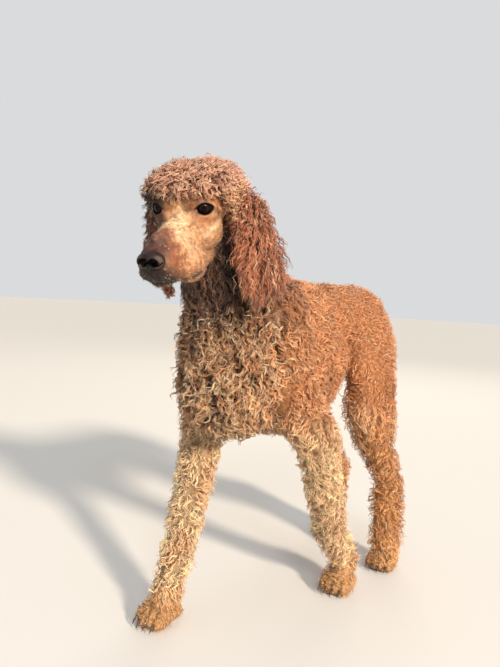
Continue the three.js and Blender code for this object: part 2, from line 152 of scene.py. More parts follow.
# Melts overlapping masses into one even mesh and rounds where they meet
def melt(piece, voxel, rounds):
    useModifier(piece, "REMESH", mode="VOXEL", voxel_size=voxel, use_smooth_shade=True)
    if rounds:
        useModifier(piece, "SMOOTH", factor=0.5, iterations=rounds)


def carve(piece, cutter, operation="DIFFERENCE"):
    useModifier(piece, "BOOLEAN", object=cutter, operation=operation, solver="EXACT")
    bpy.data.objects.remove(cutter)


# Puts a place into the mesh, so that the object stays at the origin
def settle(piece, place):
    piece.data.transform(place)
    piece.matrix_world = Matrix.Identity(4)


# The head, in its own frame: the origin is between the eyes and -y is ahead
head = {
    "eyeApart": 63, "eyeShift": -1, "eyeBack": 4, "eyeHeight": 3, "eyeTurn": 0.46,
    "eyeRadius": 11, "lidThickness": 2, "socketPlay": 0.8,
    "openingWidth": 22.5, "openingHeight": 14.6, "openingTilt": -0.04, "openingPower": 1.6,
    "muzzleLength": 95, "lipPlaces": [30, 60, 90, 110], "lipLine": [-71, -75, -73, -67],
    "massVoxel": 3, "voxel": 1.15,
}


def eyeCentre(side):
    return Vector((side * head["eyeApart"] / 2 + head["eyeShift"], head["eyeBack"], head["eyeHeight"]))


# How far points in the head's frame are from an eye's opening: below 1 they are in it
def eyeRing(points, side, extraWidth, extraHeight):
    turn = np.array(Matrix.Rotation(side * head["eyeTurn"], 3, "Z"))
    local = (points - np.array(eyeCentre(side))) @ turn
    wide, high = head["openingWidth"] / 2 + extraWidth, head["openingHeight"] / 2 + extraHeight
    power = head["openingPower"]
    return local, (np.abs(local[:, 0] / wide) ** power + np.abs(local[:, 2] / high) ** power) ** (1 / power)


# A lens-shaped bar, from two cylinders that overlap, which runs out from the middle of the eye
def lidOpening(side):
    halfWidth, halfHeight = head["openingWidth"] / 2, head["openingHeight"] / 2
    radius = (halfWidth ** 2 + halfHeight ** 2) / (2 * halfHeight)
    bars = []
    for way in (1, -1):
        deselectAll()
        bpy.ops.mesh.primitive_cylinder_add(vertices=64, radius=radius, depth=30,
                                            rotation=(math.pi / 2, 0, 0),
                                            location=(0, -15, way * (radius - halfHeight)))
        bars.append(bpy.context.object)
    carve(bars[0], bars[1], "INTERSECT")
    turn = Matrix.Rotation(side * head["eyeTurn"], 4, "Z")
    tilt = Matrix.Rotation(side * head["openingTilt"], 4, "Y")
    bars[0].matrix_world = Matrix.Translation(eyeCentre(side)) @ turn @ tilt @ bars[0].matrix_world
    return bars[0]


def ballsOnEyes(radius):
    return bothSides(lambda s: ball(eyeCentre(s), [radius] * 3, segments=64))


def buildHead():
    masses = [
        ball((0, 58, -2), (49, 61, 43)),  # skull
        ball((0, 54, 27), (54, 58, 20)),  # crown, under the topknot
        *bothSides(lambda s: ball((s * 44, 48, 18), (17, 36, 17))),  # temples
        *bothSides(lambda s: ball((s * 46, 36, 1), (11, 14, 17))),  # roots of the ears
        *bothSides(lambda s: ball((s * 26.5, 20, -30), (18, 36, 29))),  # cheeks
        *bothSides(lambda s: ball((s * 28, 9, -4), (20.5, 20.5, 19))),  # around the eyes
        *bothSides(lambda s: ball((s * 20, 10, 11), (20.5, 22.5, 13.5))),  # brows
        limb((0, -4, -36), 34, (0, -head["muzzleLength"] + 6, -47), 25, 1.02),  # muzzle
        ball((0, -48, -20.5), (14, 50, 9.5), (-0.1, 0, 0)),  # bridge
        *bothSides(lambda s: ball((s * 15, -74, -58), (14, 33, 17))),  # upper lips
        *bothSides(lambda s: ball((s * 23, -38, -63), (16, 38, 25))),  # flews
        limb((0, 34, -44), 29, (0, 82, -40), 36),  # throat
    ]
    whole = joined("headSkin", masses)
    melt(whole, head["massVoxel"], 14)
    jaw = joined("jaw", [
        limb((0, -84, -68), 12.5, (0, 24, -66), 24.5, 1.3),
        ball((0, -87, -71), (15, 12, 9)),  # chin
    ])
    melt(jaw, head["massVoxel"], 5)
    shells = ballsOnEyes(head["eyeRadius"] + head["lidThickness"] + head["socketPlay"])
    whole = joined("headSkin", [whole, jaw, *shells])
    melt(whole, head["voxel"], 3)
    carve(whole, joined("eyeOpenings", bothSides(lidOpening)))
    carve(whole, joined("sockets", ballsOnEyes(head["eyeRadius"] + head["socketPlay"])))
    carve(whole, ball((0, -113, -40), (14.5, 13, 9)))  # bed of the nose
    melt(whole, head["voxel"], 2)
    return whole


headSkin = buildHead()
settle(headSkin, headPlace)
print("head modelled,", len(headSkin.data.polygons), "faces")

# Trunk, neck, legs and tail, in the dog's frame: the ground is at z 0 and -y is ahead
trunk = {
    "withers": 600, "croup": 599, "brisket": 328, "ribHalfWidth": 88, "rumpHalfWidth": 76,
    "woolUnderneath": 4, "voxel": 5,
}
neckFoot, neckTop = (-2, -152, 498), (12, -284, 674)
frontLegs = {
    "left": {"shoulder": (66, -140, 425), "elbow": (98, -82, 334), "wrist": (79, 24, 130), "paw": 76},
    "right": {"shoulder": (-66, -172, 425), "elbow": (-92, -158, 325), "wrist": (-86, -212, 128),
              "paw": -246},
}
hindLegs = {
    "left": {"side": 1, "knee": (86, 118, 348), "hock": (91, 258, 168), "ankle": (97, 252, 52), "paw": 236},
    "right": {"side": -1, "knee": (-84, 150, 352), "hock": (-84, 332, 160), "ankle": (-86, 326, 52),
              "paw": 308},
}
tailPath = [(0, 236, 548), (0, 276, 516), (0, 300, 450), (0, 306, 380), (0, 306, 352)]
tailRadii = [(22, 17), (17, 13), (13, 11), (11, 9)]
# Paws are finer than the legs, so that the toes stay apart
paw = {
    "toes": (-1.5, -0.5, 0.5, 1.5), "toeSpread": 14, "toeArc": 4, "toeSize": (10.5, 20, 15),
    "toeTip": (8.5, 8, 10), "top": 58, "topBack": 10, "voxel": 2.6,
}


def buildBody():
    wool = trunk["woolUnderneath"]
    middle = (trunk["withers"] + trunk["brisket"]) / 2 - 1
    depth = (trunk["withers"] - trunk["brisket"]) / 2 + 2
    croup = trunk["croup"]
    forearm, wrist, foot = 28 + wool, 18 + wool, 17 + wool
    masses = [
        ball((0, -60, middle), (trunk["ribHalfWidth"], 187, depth)),  # ribs
        ball((0, -198, 432), (74, 66, 96)),  # chest
        *bothSides(lambda s: ball((s * 60, -138, 480), (36, 60, 106))),  # shoulders
        limb((0, 60, croup - 72), 72, (0, 170, croup - 66), 66),  # loin
        ball((0, 190, croup - 78), (trunk["rumpHalfWidth"], 86, 80)),  # rump
        limb(neckFoot, 90 + wool, neckTop, 50 + wool, 0.92),
        limb((0, -208, 478), 66, (4, -236, 585), 46),  # throat
    ]
    for leg in frontLegs.values():
        instep = (leg["wrist"][0], leg["paw"] + paw["topBack"], paw["top"])
        masses += [
            limb(leg["shoulder"], 52, leg["elbow"], 36, 0.8),
            limb(leg["elbow"], forearm, leg["wrist"], wrist),
            limb(leg["wrist"], wrist, instep, foot),
        ]
    for leg in hindLegs.values():
        side, knee, hock = leg["side"], leg["knee"], leg["hock"]
        behindHock = Vector(hock) - Vector((side * 7, 22, 6))
        behindAnkle = Vector(leg["ankle"]) - Vector((side * 7, 20, 0))
        masses += [
            ball((side * 64, 174, 442), (38, 80, 106)),  # haunch
            limb((side * 58, 178, 462), 58, knee, 36 + wool, 0.8),  # thigh
            limb((side * 74, 188, 392), 46, (side * 84, 196, 300), 30, 0.8),  # back of the thigh
            limb(knee, 35 + wool, hock, wrist, 0.9),
            ball((hock[0], hock[1] + 8, hock[2] + 2), (14 + wool, 16 + wool, 24 + wool)),
            limb(hock, wrist, leg["ankle"], foot),
            limb(behindHock, foot, behindAnkle, foot),
        ]
    for start, end, radii in zip(tailPath, tailPath[1:], tailRadii):
        masses.append(limb(start, radii[0] + wool, end, radii[1] + wool))
    whole = joined("bodySkin", masses)
    melt(whole, trunk["voxel"], 9)
    return whole


def buildPaw(x, ahead):
    middle = Vector((x, ahead, 24))
    toes = []
    for i in paw["toes"]:
        centre = middle + Vector((i * paw["toeSpread"], paw["toeArc"] * abs(i) - 24, -6))
        toes.append(ball(centre, paw["toeSize"]))
        toes.append(ball(centre + Vector((0, -15, -4)), paw["toeTip"]))
    top = limb(middle + Vector((0, -2, 6)), 25, (x, ahead + paw["topBack"], paw["top"]), 20)
    heel = ball(middle + Vector((0, 14, -8)), (24, 22, 16))
    return [*toes, top, heel]


pawPlaces = [(leg["wrist"][0], leg["paw"]) for leg in frontLegs.values()]
pawPlaces += [(leg["ankle"][0], leg["paw"]) for leg in hindLegs.values()]
bodySkin = buildBody()
settle(bodySkin, toRow)
pawSkin = joined("pawSkin", [mass for place in pawPlaces for mass in buildPaw(*place)])
melt(pawSkin, paw["voxel"], 3)
settle(pawSkin, toRow)
print("body modelled,", len(bodySkin.data.polygons), "faces, and paws,", len(pawSkin.data.polygons))

# The ears, in the head's frame: each is a flap, its first ring extruded and laid down the path
ears = {
    "left": {"side": 1, "path": [(58, 64, 19), (80, 55, -20), (97, 38, -70), (101, 23, -112)],
             "across": (0.75, 0.66, 0), "tipHalfWidth": 32},
    "right": {"side": -1, "path": [(-54, 62, 12), (-67, 50, -24), (-63, 27, -76), (-40, 4, -128)],
              "across": (-0.5, 0.86, 0), "tipHalfWidth": 14.5},
}
earFlap = {"rootHalfWidth": 25, "halfThickness": 5, "rings": 12, "cup": 8, "voxel": 2.4}
hang = Vector((0, -math.sin(pose["headNod"]), -math.cos(pose["headNod"])))


# A smooth curve through the points of a path
def pathPoint(path, t):
    points = [Vector(p) for p in path]
    points = [points[0] * 2 - points[1], *points, points[-1] * 2 - points[-2]]
    place = min(max(t, 0), 0.9999) * (len(path) - 1)
    i, f = int(place), place - int(place)
    a, b, c, d = points[i:i + 4]
    square, cube = 2 * a - 5 * b + 4 * c - d, 3 * b - a - 3 * c + d
    return 0.5 * (2 * b + (c - a) * f + square * f ** 2 + cube * f ** 3)


def earAxes(ear):
    across = Vector(ear["across"])
    wide = (across - hang * across.dot(hang)).normalized()
    outward = (wide.cross(hang) * -ear["side"]).normalized()
    return wide, outward


def buildEar(name, ear):
    wide, outward = earAxes(ear)
    swell = lambda t: math.sqrt(max(1 - abs(2 * t - 1) ** 6, 0.02))
    width = lambda t: (earFlap["rootHalfWidth"] * (1 - t) + ear["tipHalfWidth"] * t) * swell(t)
    deselectAll()
    bpy.ops.mesh.primitive_circle_add(vertices=28, radius=1, fill_type="NGON")
    flap = bpy.context.object
    flap.data.transform(Matrix.Diagonal((width(0), earFlap["halfThickness"], 1, 1)))
    bpy.ops.object.mode_set(mode="EDIT")
    for step in range(1, earFlap["rings"] + 1):
        before, now = (step - 1) / earFlap["rings"], step / earFlap["rings"]
        size = width(now) / width(before)
        bpy.ops.mesh.extrude_region_move(TRANSFORM_OT_translate={"value": (0, 0, 1)})
        bpy.ops.transform.resize(value=(size, 1, 1), center_override=(0, 0, 0))
    bpy.ops.mesh.select_all(action="SELECT")
    bpy.ops.mesh.normals_make_consistent(inside=False)
    bpy.ops.object.mode_set(mode="OBJECT")
    for vert in flap.data.vertices:  # each ring goes to its place on the path, cupped towards the cheek
        t = vert.co.z / earFlap["rings"]
        share = vert.co.x / width(t)
        lift = vert.co.y * (0.4 + 0.6 * swell(t)) - earFlap["cup"] * share * share
        vert.co = pathPoint(ear["path"], t) + wide * vert.co.x + outward * lift
    flap.name = name
    melt(flap, earFlap["voxel"], 4)
    settle(flap, headPlace)
    return flap


earSkins = [buildEar(f"earSkin_{word}", ear) for word, ear in ears.items()]
print("ears modelled,", sum(len(flap.data.polygons) for flap in earSkins), "faces")

# One skin, whose faces know their zone, unwrapped once so that each strand's colour has a place to bake to
skinParts = {
    "body": bodySkin, "head": headSkin, "paw": pawSkin, "earLeft": earSkins[0], "earRight": earSkins[1],
}
zoneOf = {word: i for i, word in enumerate(skinParts)}
for word, part in skinParts.items():
    marks = part.data.attributes.new("zone", "INT", "FACE")
    marks.data.foreach_set("value", np.full(len(part.data.polygons), zoneOf[word], np.int32))
skin = joined("skin", list(skinParts.values()))
activate(skin)
bpy.ops.object.shade_smooth()
while skin.data.uv_layers:
    skin.data.uv_layers.remove(skin.data.uv_layers[0])
skin.data.uv_layers.new(name="skinUnwrap")
bpy.ops.object.mode_set(mode="EDIT")
bpy.ops.mesh.select_all(action="SELECT")
bpy.ops.uv.smart_project(angle_limit=math.radians(66), island_margin=0.0005)
bpy.ops.object.mode_set(mode="OBJECT")
print("skin unwrapped,", len(skin.data.polygons), "faces")


def readArray(items, key, width, kind=float):
    values = np.empty(len(items) * width, kind)
    items.foreach_get(key, values)
    return values.reshape(-1, width) if width > 1 else values


def writeArray(items, key, values, kind=np.float32):
    items.foreach_set(key, values.astype(kind).ravel())


def paint(mesh, name, colours):
    layer = mesh.color_attributes.new(name, "FLOAT_COLOR", "POINT")
    writeArray(layer.data, "color", np.concatenate([colours, np.ones((*colours.shape[:-1], 1))], -1))


def skinArrays(piece):
    mesh = piece.data
    mesh.calc_loop_triangles()
    triangles = mesh.loop_triangles
    points = readArray(mesh.vertices, "co", 3)
    corners = readArray(triangles, "vertices", 3, np.int32)
    uvs = readArray(mesh.uv_layers["skinUnwrap"].uv, "vector", 2, np.float32)
    zones = readArray(mesh.attributes["zone"].data, "value", 1, np.int32)
    a, b, c = (points[corners[:, i]] for i in range(3))
    return {
        "points": points, "normals": readArray(mesh.vertex_normals, "vector", 3), "corners": corners,
        "uvs": uvs[readArray(triangles, "loops", 3, np.int32)],
        "area": np.linalg.norm(np.cross(b - a, c - a), axis=1) / 2, "centre": (a + b + c) / 3,
        "zone": zones[readArray(triangles, "polygon_index", 1, np.int32)],
    }


surface = skinArrays(skin)


def unit(vectors):
    return vectors / np.maximum(np.linalg.norm(vectors, axis=-1, keepdims=True), 1e-9)


# From 0 at the low value to 1 at the high one, with no corner
def smooth(x, low, high):
    t = np.clip((x - low) / (high - low), 0, 1)
    return t * t * (3 - 2 * t)


def inDogFrame(points):
    return points * 1000 + np.array(pose["standingPoint"])


def inHeadFrame(points):
    return (inDogFrame(points) - np.array(pose["eyeLine"])) @ np.array(headTilt.to_3x3())


# Markings and painted shade and highlights: the same for the skin and for the hair that grows on it
tones = {word: hexColour(code) for word, code in {
    "back": "#cd8754", "chest": "#ad7244", "neck": "#8f5a37", "leg": "#f9cf9f", "hindLeg": "#d59359",
    "foot": "#dda46c", "ear": "#a65f3d", "topknot": "#bf896f", "face": "#b1825c", "cream": "#dfbd94",
    "brow": "#9a5c38", "russet": "#8a4e2e", "snout": "#4b2c27", "lip": "#26150f", "fold": "#4a3230",
    "freckle": "#7e4426", "rim": "#0c0706", "tear": "#94726a", "shade": "#2c1a13", "sunlit": "#f0d2a8",
    "tip": "#e9cda4", "leather": "#080505", "leatherLitTop": "#2a1a18", "leatherRimHighlight": "#54403b",
    "nostrilShadow": "#050303",
}.items()}
# Patches of the face: share, centre and half sizes in the head's frame; the other side has them too.
facePatches = {
    "brow": [(0.8, (30, -4, 16), (24, 18, 11)), (0.5, (44, 16, 4), (9, 12, 12))],
    # cream hair between the eyes, on the cheek and along the bridge, where it is partly a painted highlight
    "cream": [(0.8, (0, -10, 0), (9, 16, 10)), (1, (7, -34, -10), (9, 16, 9)),
              (0.85, (15, -54, -20), (8, 15, 9)), (0.35, (28, -50, -36), (10, 14, 12)),
              (0.7, (45, 14, -20), (5, 8, 4)), (0.8, (40, 2, -25), (5, 8, 4)),
              (0.6, (35, -8, -30), (5, 8, 4))],
    "russet": [(0.6, (35, -8, -13), (13, 9, 7)), (0.8, (6, -70, -12), (9, 13, 9)),
               (0.9, (16, -82, -28), (8, 11, 12)), (0.95, (23, -88, -46), (8, 13, 16)),
               (0.7, (22, -80, -66), (16, 24, 9))],
    "snout": [(0.9, (0, -86, -18), (15, 20, 12)), (1.3, (0, -99, -27), (21, 15, 14))],
    # dark lips beneath the nose, partly painted shade under the nose
    "lip": [(1.6, (0, -109, -58), (22, 14, 16)), (1.2, (10, -104, -66), (20, 22, 11))],
    "fold": [(0.95, (35, -54, -71), (5, 7, 3.5))],
    "shade": [(0.95, (45, 9, -2), (3, 5, 3.5)), (0.95, (46, 15, -7), (3.5, 5, 4)),
              (0.8, (48, 21, -13), (3.5, 5, 5)), (0.55, (31, -8, 14), (17, 9, 4))],
}
# How strong each shaded, lit or mottled place is, and the sizes of the mottling in millimetres
shading = {
    "underEar": 0.92, "betweenLegs": 0.55, "farTemple": 0.6, "farCheek": 0.8, "farEar": 0.5, "lips": 0.95,
    "darkWool": 0.42, "darkWoolSize": 34, "paintedHighlightCurls": 0.75, "highlightCurlSize": 15,
    "freckles": 0.62, "freckleSize": 3.4, "mottle": 0.5, "mottleSize": 6.5, "lipHalfHeight": 2.4,
}


def blendTone(colours, tone, share):
    return colours + (tones[tone] - colours) * np.clip(share, 0, 1)[:, None]


# Random patches of a size, from -1 to 1
def fleck(points, size):
    return np.array([noise.noise(Vector(point) / size) for point in points])


# The face's patches, far cheek, freckles, mottling and line of the mouth, painted over the tones below them
def faceTones(colours, q, onFace):
    x, y, z = q.T
    mirrored = np.column_stack([np.abs(x), y, z])
    for tone, patches in facePatches.items():
        for strength, middle, sizes in patches:
            away = (((mirrored - np.array(middle)) / np.array(sizes)) ** 2).sum(1)
            colours = blendTone(colours, tone, strength * np.exp(-0.7 * away) * onFace)
    farCheek = smooth(-x, 13, 27) * smooth(y, -66, -40) * smooth(z, -60, -38)
    colours = blendTone(colours, "shade", shading["farCheek"] * farCheek * onFace)
    isLight = smooth(colours[:, 1], 0.06, 0.14)
    spots = smooth(fleck(q, shading["freckleSize"]), 0.12, 0.38) * smooth(-y, -10, 30) * isLight
    colours = blendTone(colours, "freckle", shading["freckles"] * spots * onFace)
    colours = colours * (1 + shading["mottle"] * fleck(q + 40, shading["mottleSize"]) * onFace)[:, None]
    fromMouth = (z - np.interp(-y, head["lipPlaces"], head["lipLine"])) / shading["lipHalfHeight"]
    lips = np.exp(-(fromMouth ** 2)) * smooth(-y, 36, 50)
    return blendTone(colours, "lip", shading["lips"] * lips * onFace)


# The colour of skin or hair, by its place in the dog's frame (x, y, z) or the head's (qx, qy, qz)
def coatTones(points, zone):
    p, q = inDogFrame(points), inHeadFrame(points)
    (x, y, z), (qx, qy, qz) = p.T, q.T
    leg, hind = 1 - smooth(z, 300, 400), smooth(y, 70, 120)
    throatSide = smooth(250 - 0.75 * z - y, -90, -20)
    darkWool = smooth(fleck(p, shading["darkWoolSize"]), 0.02, 0.3)
    betweenLegs = smooth(-y, 110, 170) * (1 - smooth(z, 330, 372)) * (1 - smooth(np.abs(x), 30, 58))
    # painted highlight: light flecks of curls in the middle of the chest
    middleOfChest = np.exp(-(((x - 8) / 46) ** 2) - ((z - 452) / 60) ** 2) * smooth(-y, 190, 225)
    highlightFlecks = smooth(fleck(p, shading["highlightCurlSize"]), -0.02, 0.25) * (zone == zoneOf["body"])
    # painted shade: under the ears and on the throat the hair is painted dark, where the ears and the head
    # shade it
    aboveChest = np.maximum(smooth(qz, -170, -120), 0.7 * smooth(qz, -235, -165) * (1 - smooth(qx, 35, 70)))
    underEar = (zone < zoneOf["paw"]) * smooth(qy, 20, 44) * (1 - smooth(qz, -40, -10))
    underEar = underEar * aboveChest * throatSide * (1 - smooth(qy, 105, 150))
    underEar = underEar * (0.25 + 0.75 * smooth(qx, -40, 0))
    ofHead = (zone == zoneOf["head"]).astype(float)
    ofFace = ofHead * (1 - smooth(qz, 16, 30)) * (1 - smooth(qy, 40, 62))
    farTemple = ofHead * (1 - ofFace) * smooth(-qx, 18, 40) * (1 - smooth(qz, 22, 46))
    farEar = (zone == zoneOf["earRight"]) * smooth(-qz, -30, 10) * (1 - smooth(-qz, 85, 105))
    colours = np.tile(tones["back"], (len(points), 1))
    for tone, share in [
        ("chest", smooth(-y, 60, 160) * (1 - 0.65 * smooth(np.abs(x), 48, 80))),
        # the neck's darker tone, strongest on the throat side, is partly painted shade
        ("neck", smooth(-y, 120, 220) * smooth(z, 480, 570) * (0.5 + 0.5 * throatSide)),
        ("leg", leg * (1 - hind)),
        ("hindLeg", leg * hind),
        ("back", shading["darkWool"] * leg * (1 - hind) * darkWool),
        ("shade", shading["betweenLegs"] * betweenLegs),
        ("sunlit", shading["paintedHighlightCurls"] * middleOfChest * highlightFlecks),
        ("foot", 1 - smooth(z, 20, 90)),
        ("shade", shading["underEar"] * underEar),
        ("topknot", ofHead * smooth(qz, -34, -8) * (1 - underEar)),
        ("face", ofFace),
    ]:
        colours = blendTone(colours, tone, share)
    onFace = np.flatnonzero(ofFace > 0.01)
    if len(onFace):
        colours[onFace] = faceTones(colours[onFace], q[onFace], ofFace[onFace])
    colours = blendTone(colours, "shade", shading["farTemple"] * farTemple)
    colours = blendTone(colours, "ear", (zone > zoneOf["paw"]).astype(float))
    return blendTone(colours, "shade", shading["farEar"] * farEar)


# What all strands of the coat share; the vary values are standard deviations
strand = {
    "strayShare": 0.75, "guideLength": 0.65, "ownLength": 0.35, "curlOpens": 0.3, "frizzWave": 0.55,
    "lengthVary": 0.09, "bendVary": 0.2, "curlVary": 0.3, "waveVary": 0.18, "widthVary": 0.2, "twist": 0.15,
    "rootDepth": 0.0015, "aboveFloor": 0.0012, "bakePatch": 0.003, "bleachAndHighlight": 0.75, "tipBlend": 1.7,
    "taperPlaces": [0, 0.15, 0.6, 0.85, 1], "taper": [0.75, 1, 0.9, 0.6, 0.25],
}


# Roots spread evenly over the skin, or denser where the weights are higher
def rootsOn(weights, count, rng):
    total = np.cumsum(surface["area"] * weights)
    marks = (np.arange(count) + rng.random(count)) / count * total[-1]
    chosen = np.searchsorted(total, marks)
    chosen = np.minimum(chosen, len(total) - 1)
    share = rng.random((count, 2))
    share[share.sum(1) > 1] = 1 - share[share.sum(1) > 1]
    share = np.column_stack([share, 1 - share.sum(1)])[:, :, None]
    corners = surface["corners"][chosen]
    return {
        "root": (surface["points"][corners] * share).sum(1),
        "normal": unit((surface["normals"][corners] * share).sum(1)),
        "uv": (surface["uvs"][chosen] * share).sum(1),
        "zone": surface["zone"][chosen],
    }


# Some of the strands lead, and every strand belongs to the nearest of these
def gatherClumps(roots, perClump, rng):
    count = max(int(len(roots) / perClump), 1)
    leaders = rng.choice(len(roots), count, replace=False)
    tree = KDTree(count)
    for i, k in enumerate(leaders):
        tree.insert(roots[k], i)
    tree.balance()
    return leaders, np.array([tree.find(root)[1] for root in roots])


# Random factors around 1
def aroundOne(rng, shape, spread, limit=2):
    return 1 + spread * rng.standard_normal(shape).clip(-limit, limit)


# Finds each strand's path: it leans over, turns in a curl, and frizzes
def growCoat(name, look, seed):
    rng = np.random.default_rng(seed)
    count, steps = look["strands"], look["steps"]
    found = rootsOn(look["where"].astype(float), count, rng)
    root, normal = found["root"], found["normal"]
    places = inDogFrame(root), inHeadFrame(root), found["zone"]
    lie, length = (value(*places) if callable(value) else value for value in (look["lie"], look["length"]))
    leaders, ofClump = gatherClumps(root, look["perClump"], rng)
    tufts, ofTuft = gatherClumps(root, look["perTuft"], rng)
    turned = strand["strayShare"] * rng.normal(0, look["stray"], root.shape)
    lie = unit(lie + turned[tufts][ofTuft] + turned[leaders][ofClump])
    lie = unit(lie - normal * (lie * normal).sum(1, keepdims=True))
    length = length * aroundOne(rng, count, look["uneven"])
    # each strand follows its clump's curl, and keeps less and less of its own place towards the tip
    guide = leaders[ofClump]
    ofGuide = lambda values: values[guide][:, None, None]
    rootAt, upright, lieAt = (values[guide][:, None, :] for values in (root, normal, lie))
    reach = length[guide] * strand["guideLength"] + length * strand["ownLength"]
    reach = (reach * aroundOne(rng, count, strand["lengthVary"])[ofTuft])[:, None, None]
    t = np.linspace(0, 1, steps + 1)[None, :, None]
    first, last = (math.radians(a) for a in look["lean"])
    bend = (last - first) * ofGuide(aroundOne(rng, count, strand["bendVary"], np.inf))
    angle = first + bend * t
    rise = reach * millimetre * (np.sin(angle) - math.sin(first)) / bend
    run = reach * millimetre * (math.cos(first) - np.cos(angle)) / bend
    side = np.cross(upright, lieAt)
    radius = millimetre * look["curl"] * ofGuide(aroundOne(rng, count, strand["curlVary"], 1.6))
    hand = ofGuide(rng.choice([-1, 1], count))
    wave = look["wave"] * ofGuide(aroundOne(rng, count, strand["waveVary"]))
    phase = ofGuide(rng.random(count) * 2 * math.pi)
    turn = phase + hand * 2 * math.pi * reach * t / wave
    opening = np.minimum(t / strand["curlOpens"], 1) ** 0.8
    up = np.sin(angle) * upright - np.cos(angle) * lieAt
    path = rootAt + upright * rise + lieAt * run
    path = path + radius * opening * (np.cos(turn) * side + look["roll"] * np.sin(turn) * up)
    spread = (root[:, None, :] - rootAt) * (1 - look["gather"] * t ** 0.5)
    frizzTurn = rng.random((count, 1, 1)) * 2 * math.pi
    frizzTurn = frizzTurn + 2 * math.pi * reach * t / (look["wave"] * strand["frizzWave"])
    frizz = millimetre * look["frizz"] * rng.random((count, 1, 1)) * t
    path = path + spread + frizz * (np.cos(frizzTurn) * side + np.sin(frizzTurn) * up)
    path = path + look["tuftPull"] * (root[tufts][ofTuft][:, None, :] - rootAt) * t ** 1.4
    path = path - normal[:, None, :] * strand["rootDepth"] * (1 - t)
    path[:, :, 2] = np.maximum(path[:, :, 2], strand["aboveFloor"])
    return buildStrands(name, path, found, ofClump, ofTuft, look, rng)


# A strand is a three-sided tapered tube. Its vertices carry their tone and a level of painted shade that
# falls from the root to the tip.
def buildStrands(name, path, found, ofClump, ofTuft, look, rng):
    count, rings = path.shape[0], path.shape[1] - 1
    along = unit(np.gradient(path, axis=1))
    out = found["normal"][:, None, :]
    side = unit(np.cross(along, out + strand["twist"] * rng.standard_normal((count, 1, 3))))
    top = np.cross(side, along)
    t = np.linspace(0, 1, rings + 1)
    taper = np.interp(t, strand["taperPlaces"], strand["taper"])[None, :, None]
    width = millimetre * look["width"] * aroundOne(rng, (count, 1, 1), strand["widthVary"], 1.5)
    edges = []
    for turn in (2 * math.pi * k / 3 + math.pi / 6 for k in range(3)):
        offset = math.cos(turn) * side * width * taper + math.sin(turn) * top * width * taper * look["flat"]
        edges.append(path[:, :-1] + offset[:, :-1])
    tip = rings * 3
    tubes = np.stack(edges, 2).reshape(count, tip, 3)
    vertices = np.concatenate([tubes, path[:, -1:]], 1).reshape(-1, 3)
    around = [(0, 1), (1, 2), (2, 0)]
    quads = [(a, b, b + 3, a + 3) for ring in range(0, tip - 3, 3) for a, b in np.array(around) + ring]
    triangles = [(2, 1, 0)] + [(tip - 3 + a, tip - 3 + b, tip) for a, b in around]
    start = (np.arange(count) * (tip + 1))[:, None, None]
    quads = (np.array(quads)[None] + start).reshape(-1, 4)
    triangles = (np.array(triangles)[None] + start).reshape(-1, 3)
    loops = np.concatenate([quads.ravel(), triangles.ravel()])
    starts = np.concatenate([np.arange(len(quads)) * 4, len(quads) * 4 + np.arange(len(triangles)) * 3])
    mesh = bpy.data.meshes.new(name)
    mesh.vertices.add(len(vertices))
    writeArray(mesh.vertices, "co", vertices)
    mesh.loops.add(len(loops))
    writeArray(mesh.loops, "vertex_index", loops, np.int32)
    mesh.polygons.add(len(starts))
    writeArray(mesh.polygons, "loop_start", starts, np.int32)
    mesh.update(calc_edges=True)
    mesh.polygons.foreach_set("use_smooth", np.ones(len(starts), bool))
    # bake patches: each strand is a small square at its root's place on the skin's unwrap
    level = np.repeat(np.append(np.repeat(t[:-1], 3), 1)[None], count, 0)
    across = np.append(np.tile([0, 0.5, 1], rings), 0.5)[None].repeat(count, 0)
    patch = found["uv"][:, None, :] + strand["bakePatch"] * (np.stack([across, level], 2) - 0.5)
    writeArray(mesh.uv_layers.new(name="OFBake").uv, "vector", patch.reshape(-1, 2)[loops])
    # tone: by clump, by strand and by tuft, with some clumps lighter and most tips lighter
    colour = coatTones(found["root"], found["zone"])
    clumpVary, strandVary = look["vary"]
    vary = rng.standard_normal(count) * strandVary + (rng.standard_normal(count) * clumpVary)[ofClump]
    vary = vary + (rng.standard_normal(count) * look["tuftVary"])[ofTuft]
    colour = np.clip(colour * np.exp(vary.clip(-0.7, 0.7))[:, None], 0, 1)
    # lighter clumps: partly hair lightened by the sun, partly painted highlight
    chance = rng.random(count)[ofClump] + 0.25 * rng.standard_normal(count)
    bleachedAndHighlit = smooth(chance, 1 - look["bleachedAndHighlit"], 1.25 - look["bleachedAndHighlit"]) * (look["bleachedAndHighlit"] > 0)
    colour = blendTone(colour, "sunlit", strand["bleachAndHighlight"] * bleachedAndHighlit)
    tipShare = look["tipTint"] * smooth(level, 0.45, 1)[:, :, None]
    tipColour = np.sqrt(colour * tones["tip"])
    tipShare = np.minimum(strand["tipBlend"] * tipShare, 1)
    paint(mesh, "coatTone", colour[:, None] + (tipColour - colour)[:, None] * tipShare)
    # painted shade along the strand: darkest at the root, none at the tip
    reachMark = mesh.attributes.new("rootShadeAlongHair", "FLOAT", "POINT")
    writeArray(reachMark.data, "value", look["rootShadeLevel"] + (1 - look["rootShadeLevel"]) * level)
    piece = bpy.data.objects.new(name, mesh)
    bpy.context.scene.collection.objects.link(piece)
    print(name, count, "strands,", len(quads) * 2 + len(triangles), "triangles")
    return piece


# Height above the line where the clipped face meets the topknot
def crownLine(q):
    return q[:, 2] - (19 - 0.8 * np.maximum(q[:, 1] - 12, 0) - 1.7 * np.maximum(np.abs(q[:, 0]) - 42, 0))


neckAxis = np.array(neckTop) - np.array(neckFoot)


# How far up the neck a point is: 0 at its foot and 1 at its top
def neckShareOf(p):
    return ((p - np.array(neckFoot)) @ neckAxis) / (neckAxis @ neckAxis)


# How much a point of the trunk belongs to the chest
def chestShareOf(p):
    return smooth(-p[:, 1] - 0.9 * np.abs(p[:, 0]), 60, 150) * (1 - smooth(p[:, 2], 500, 610))


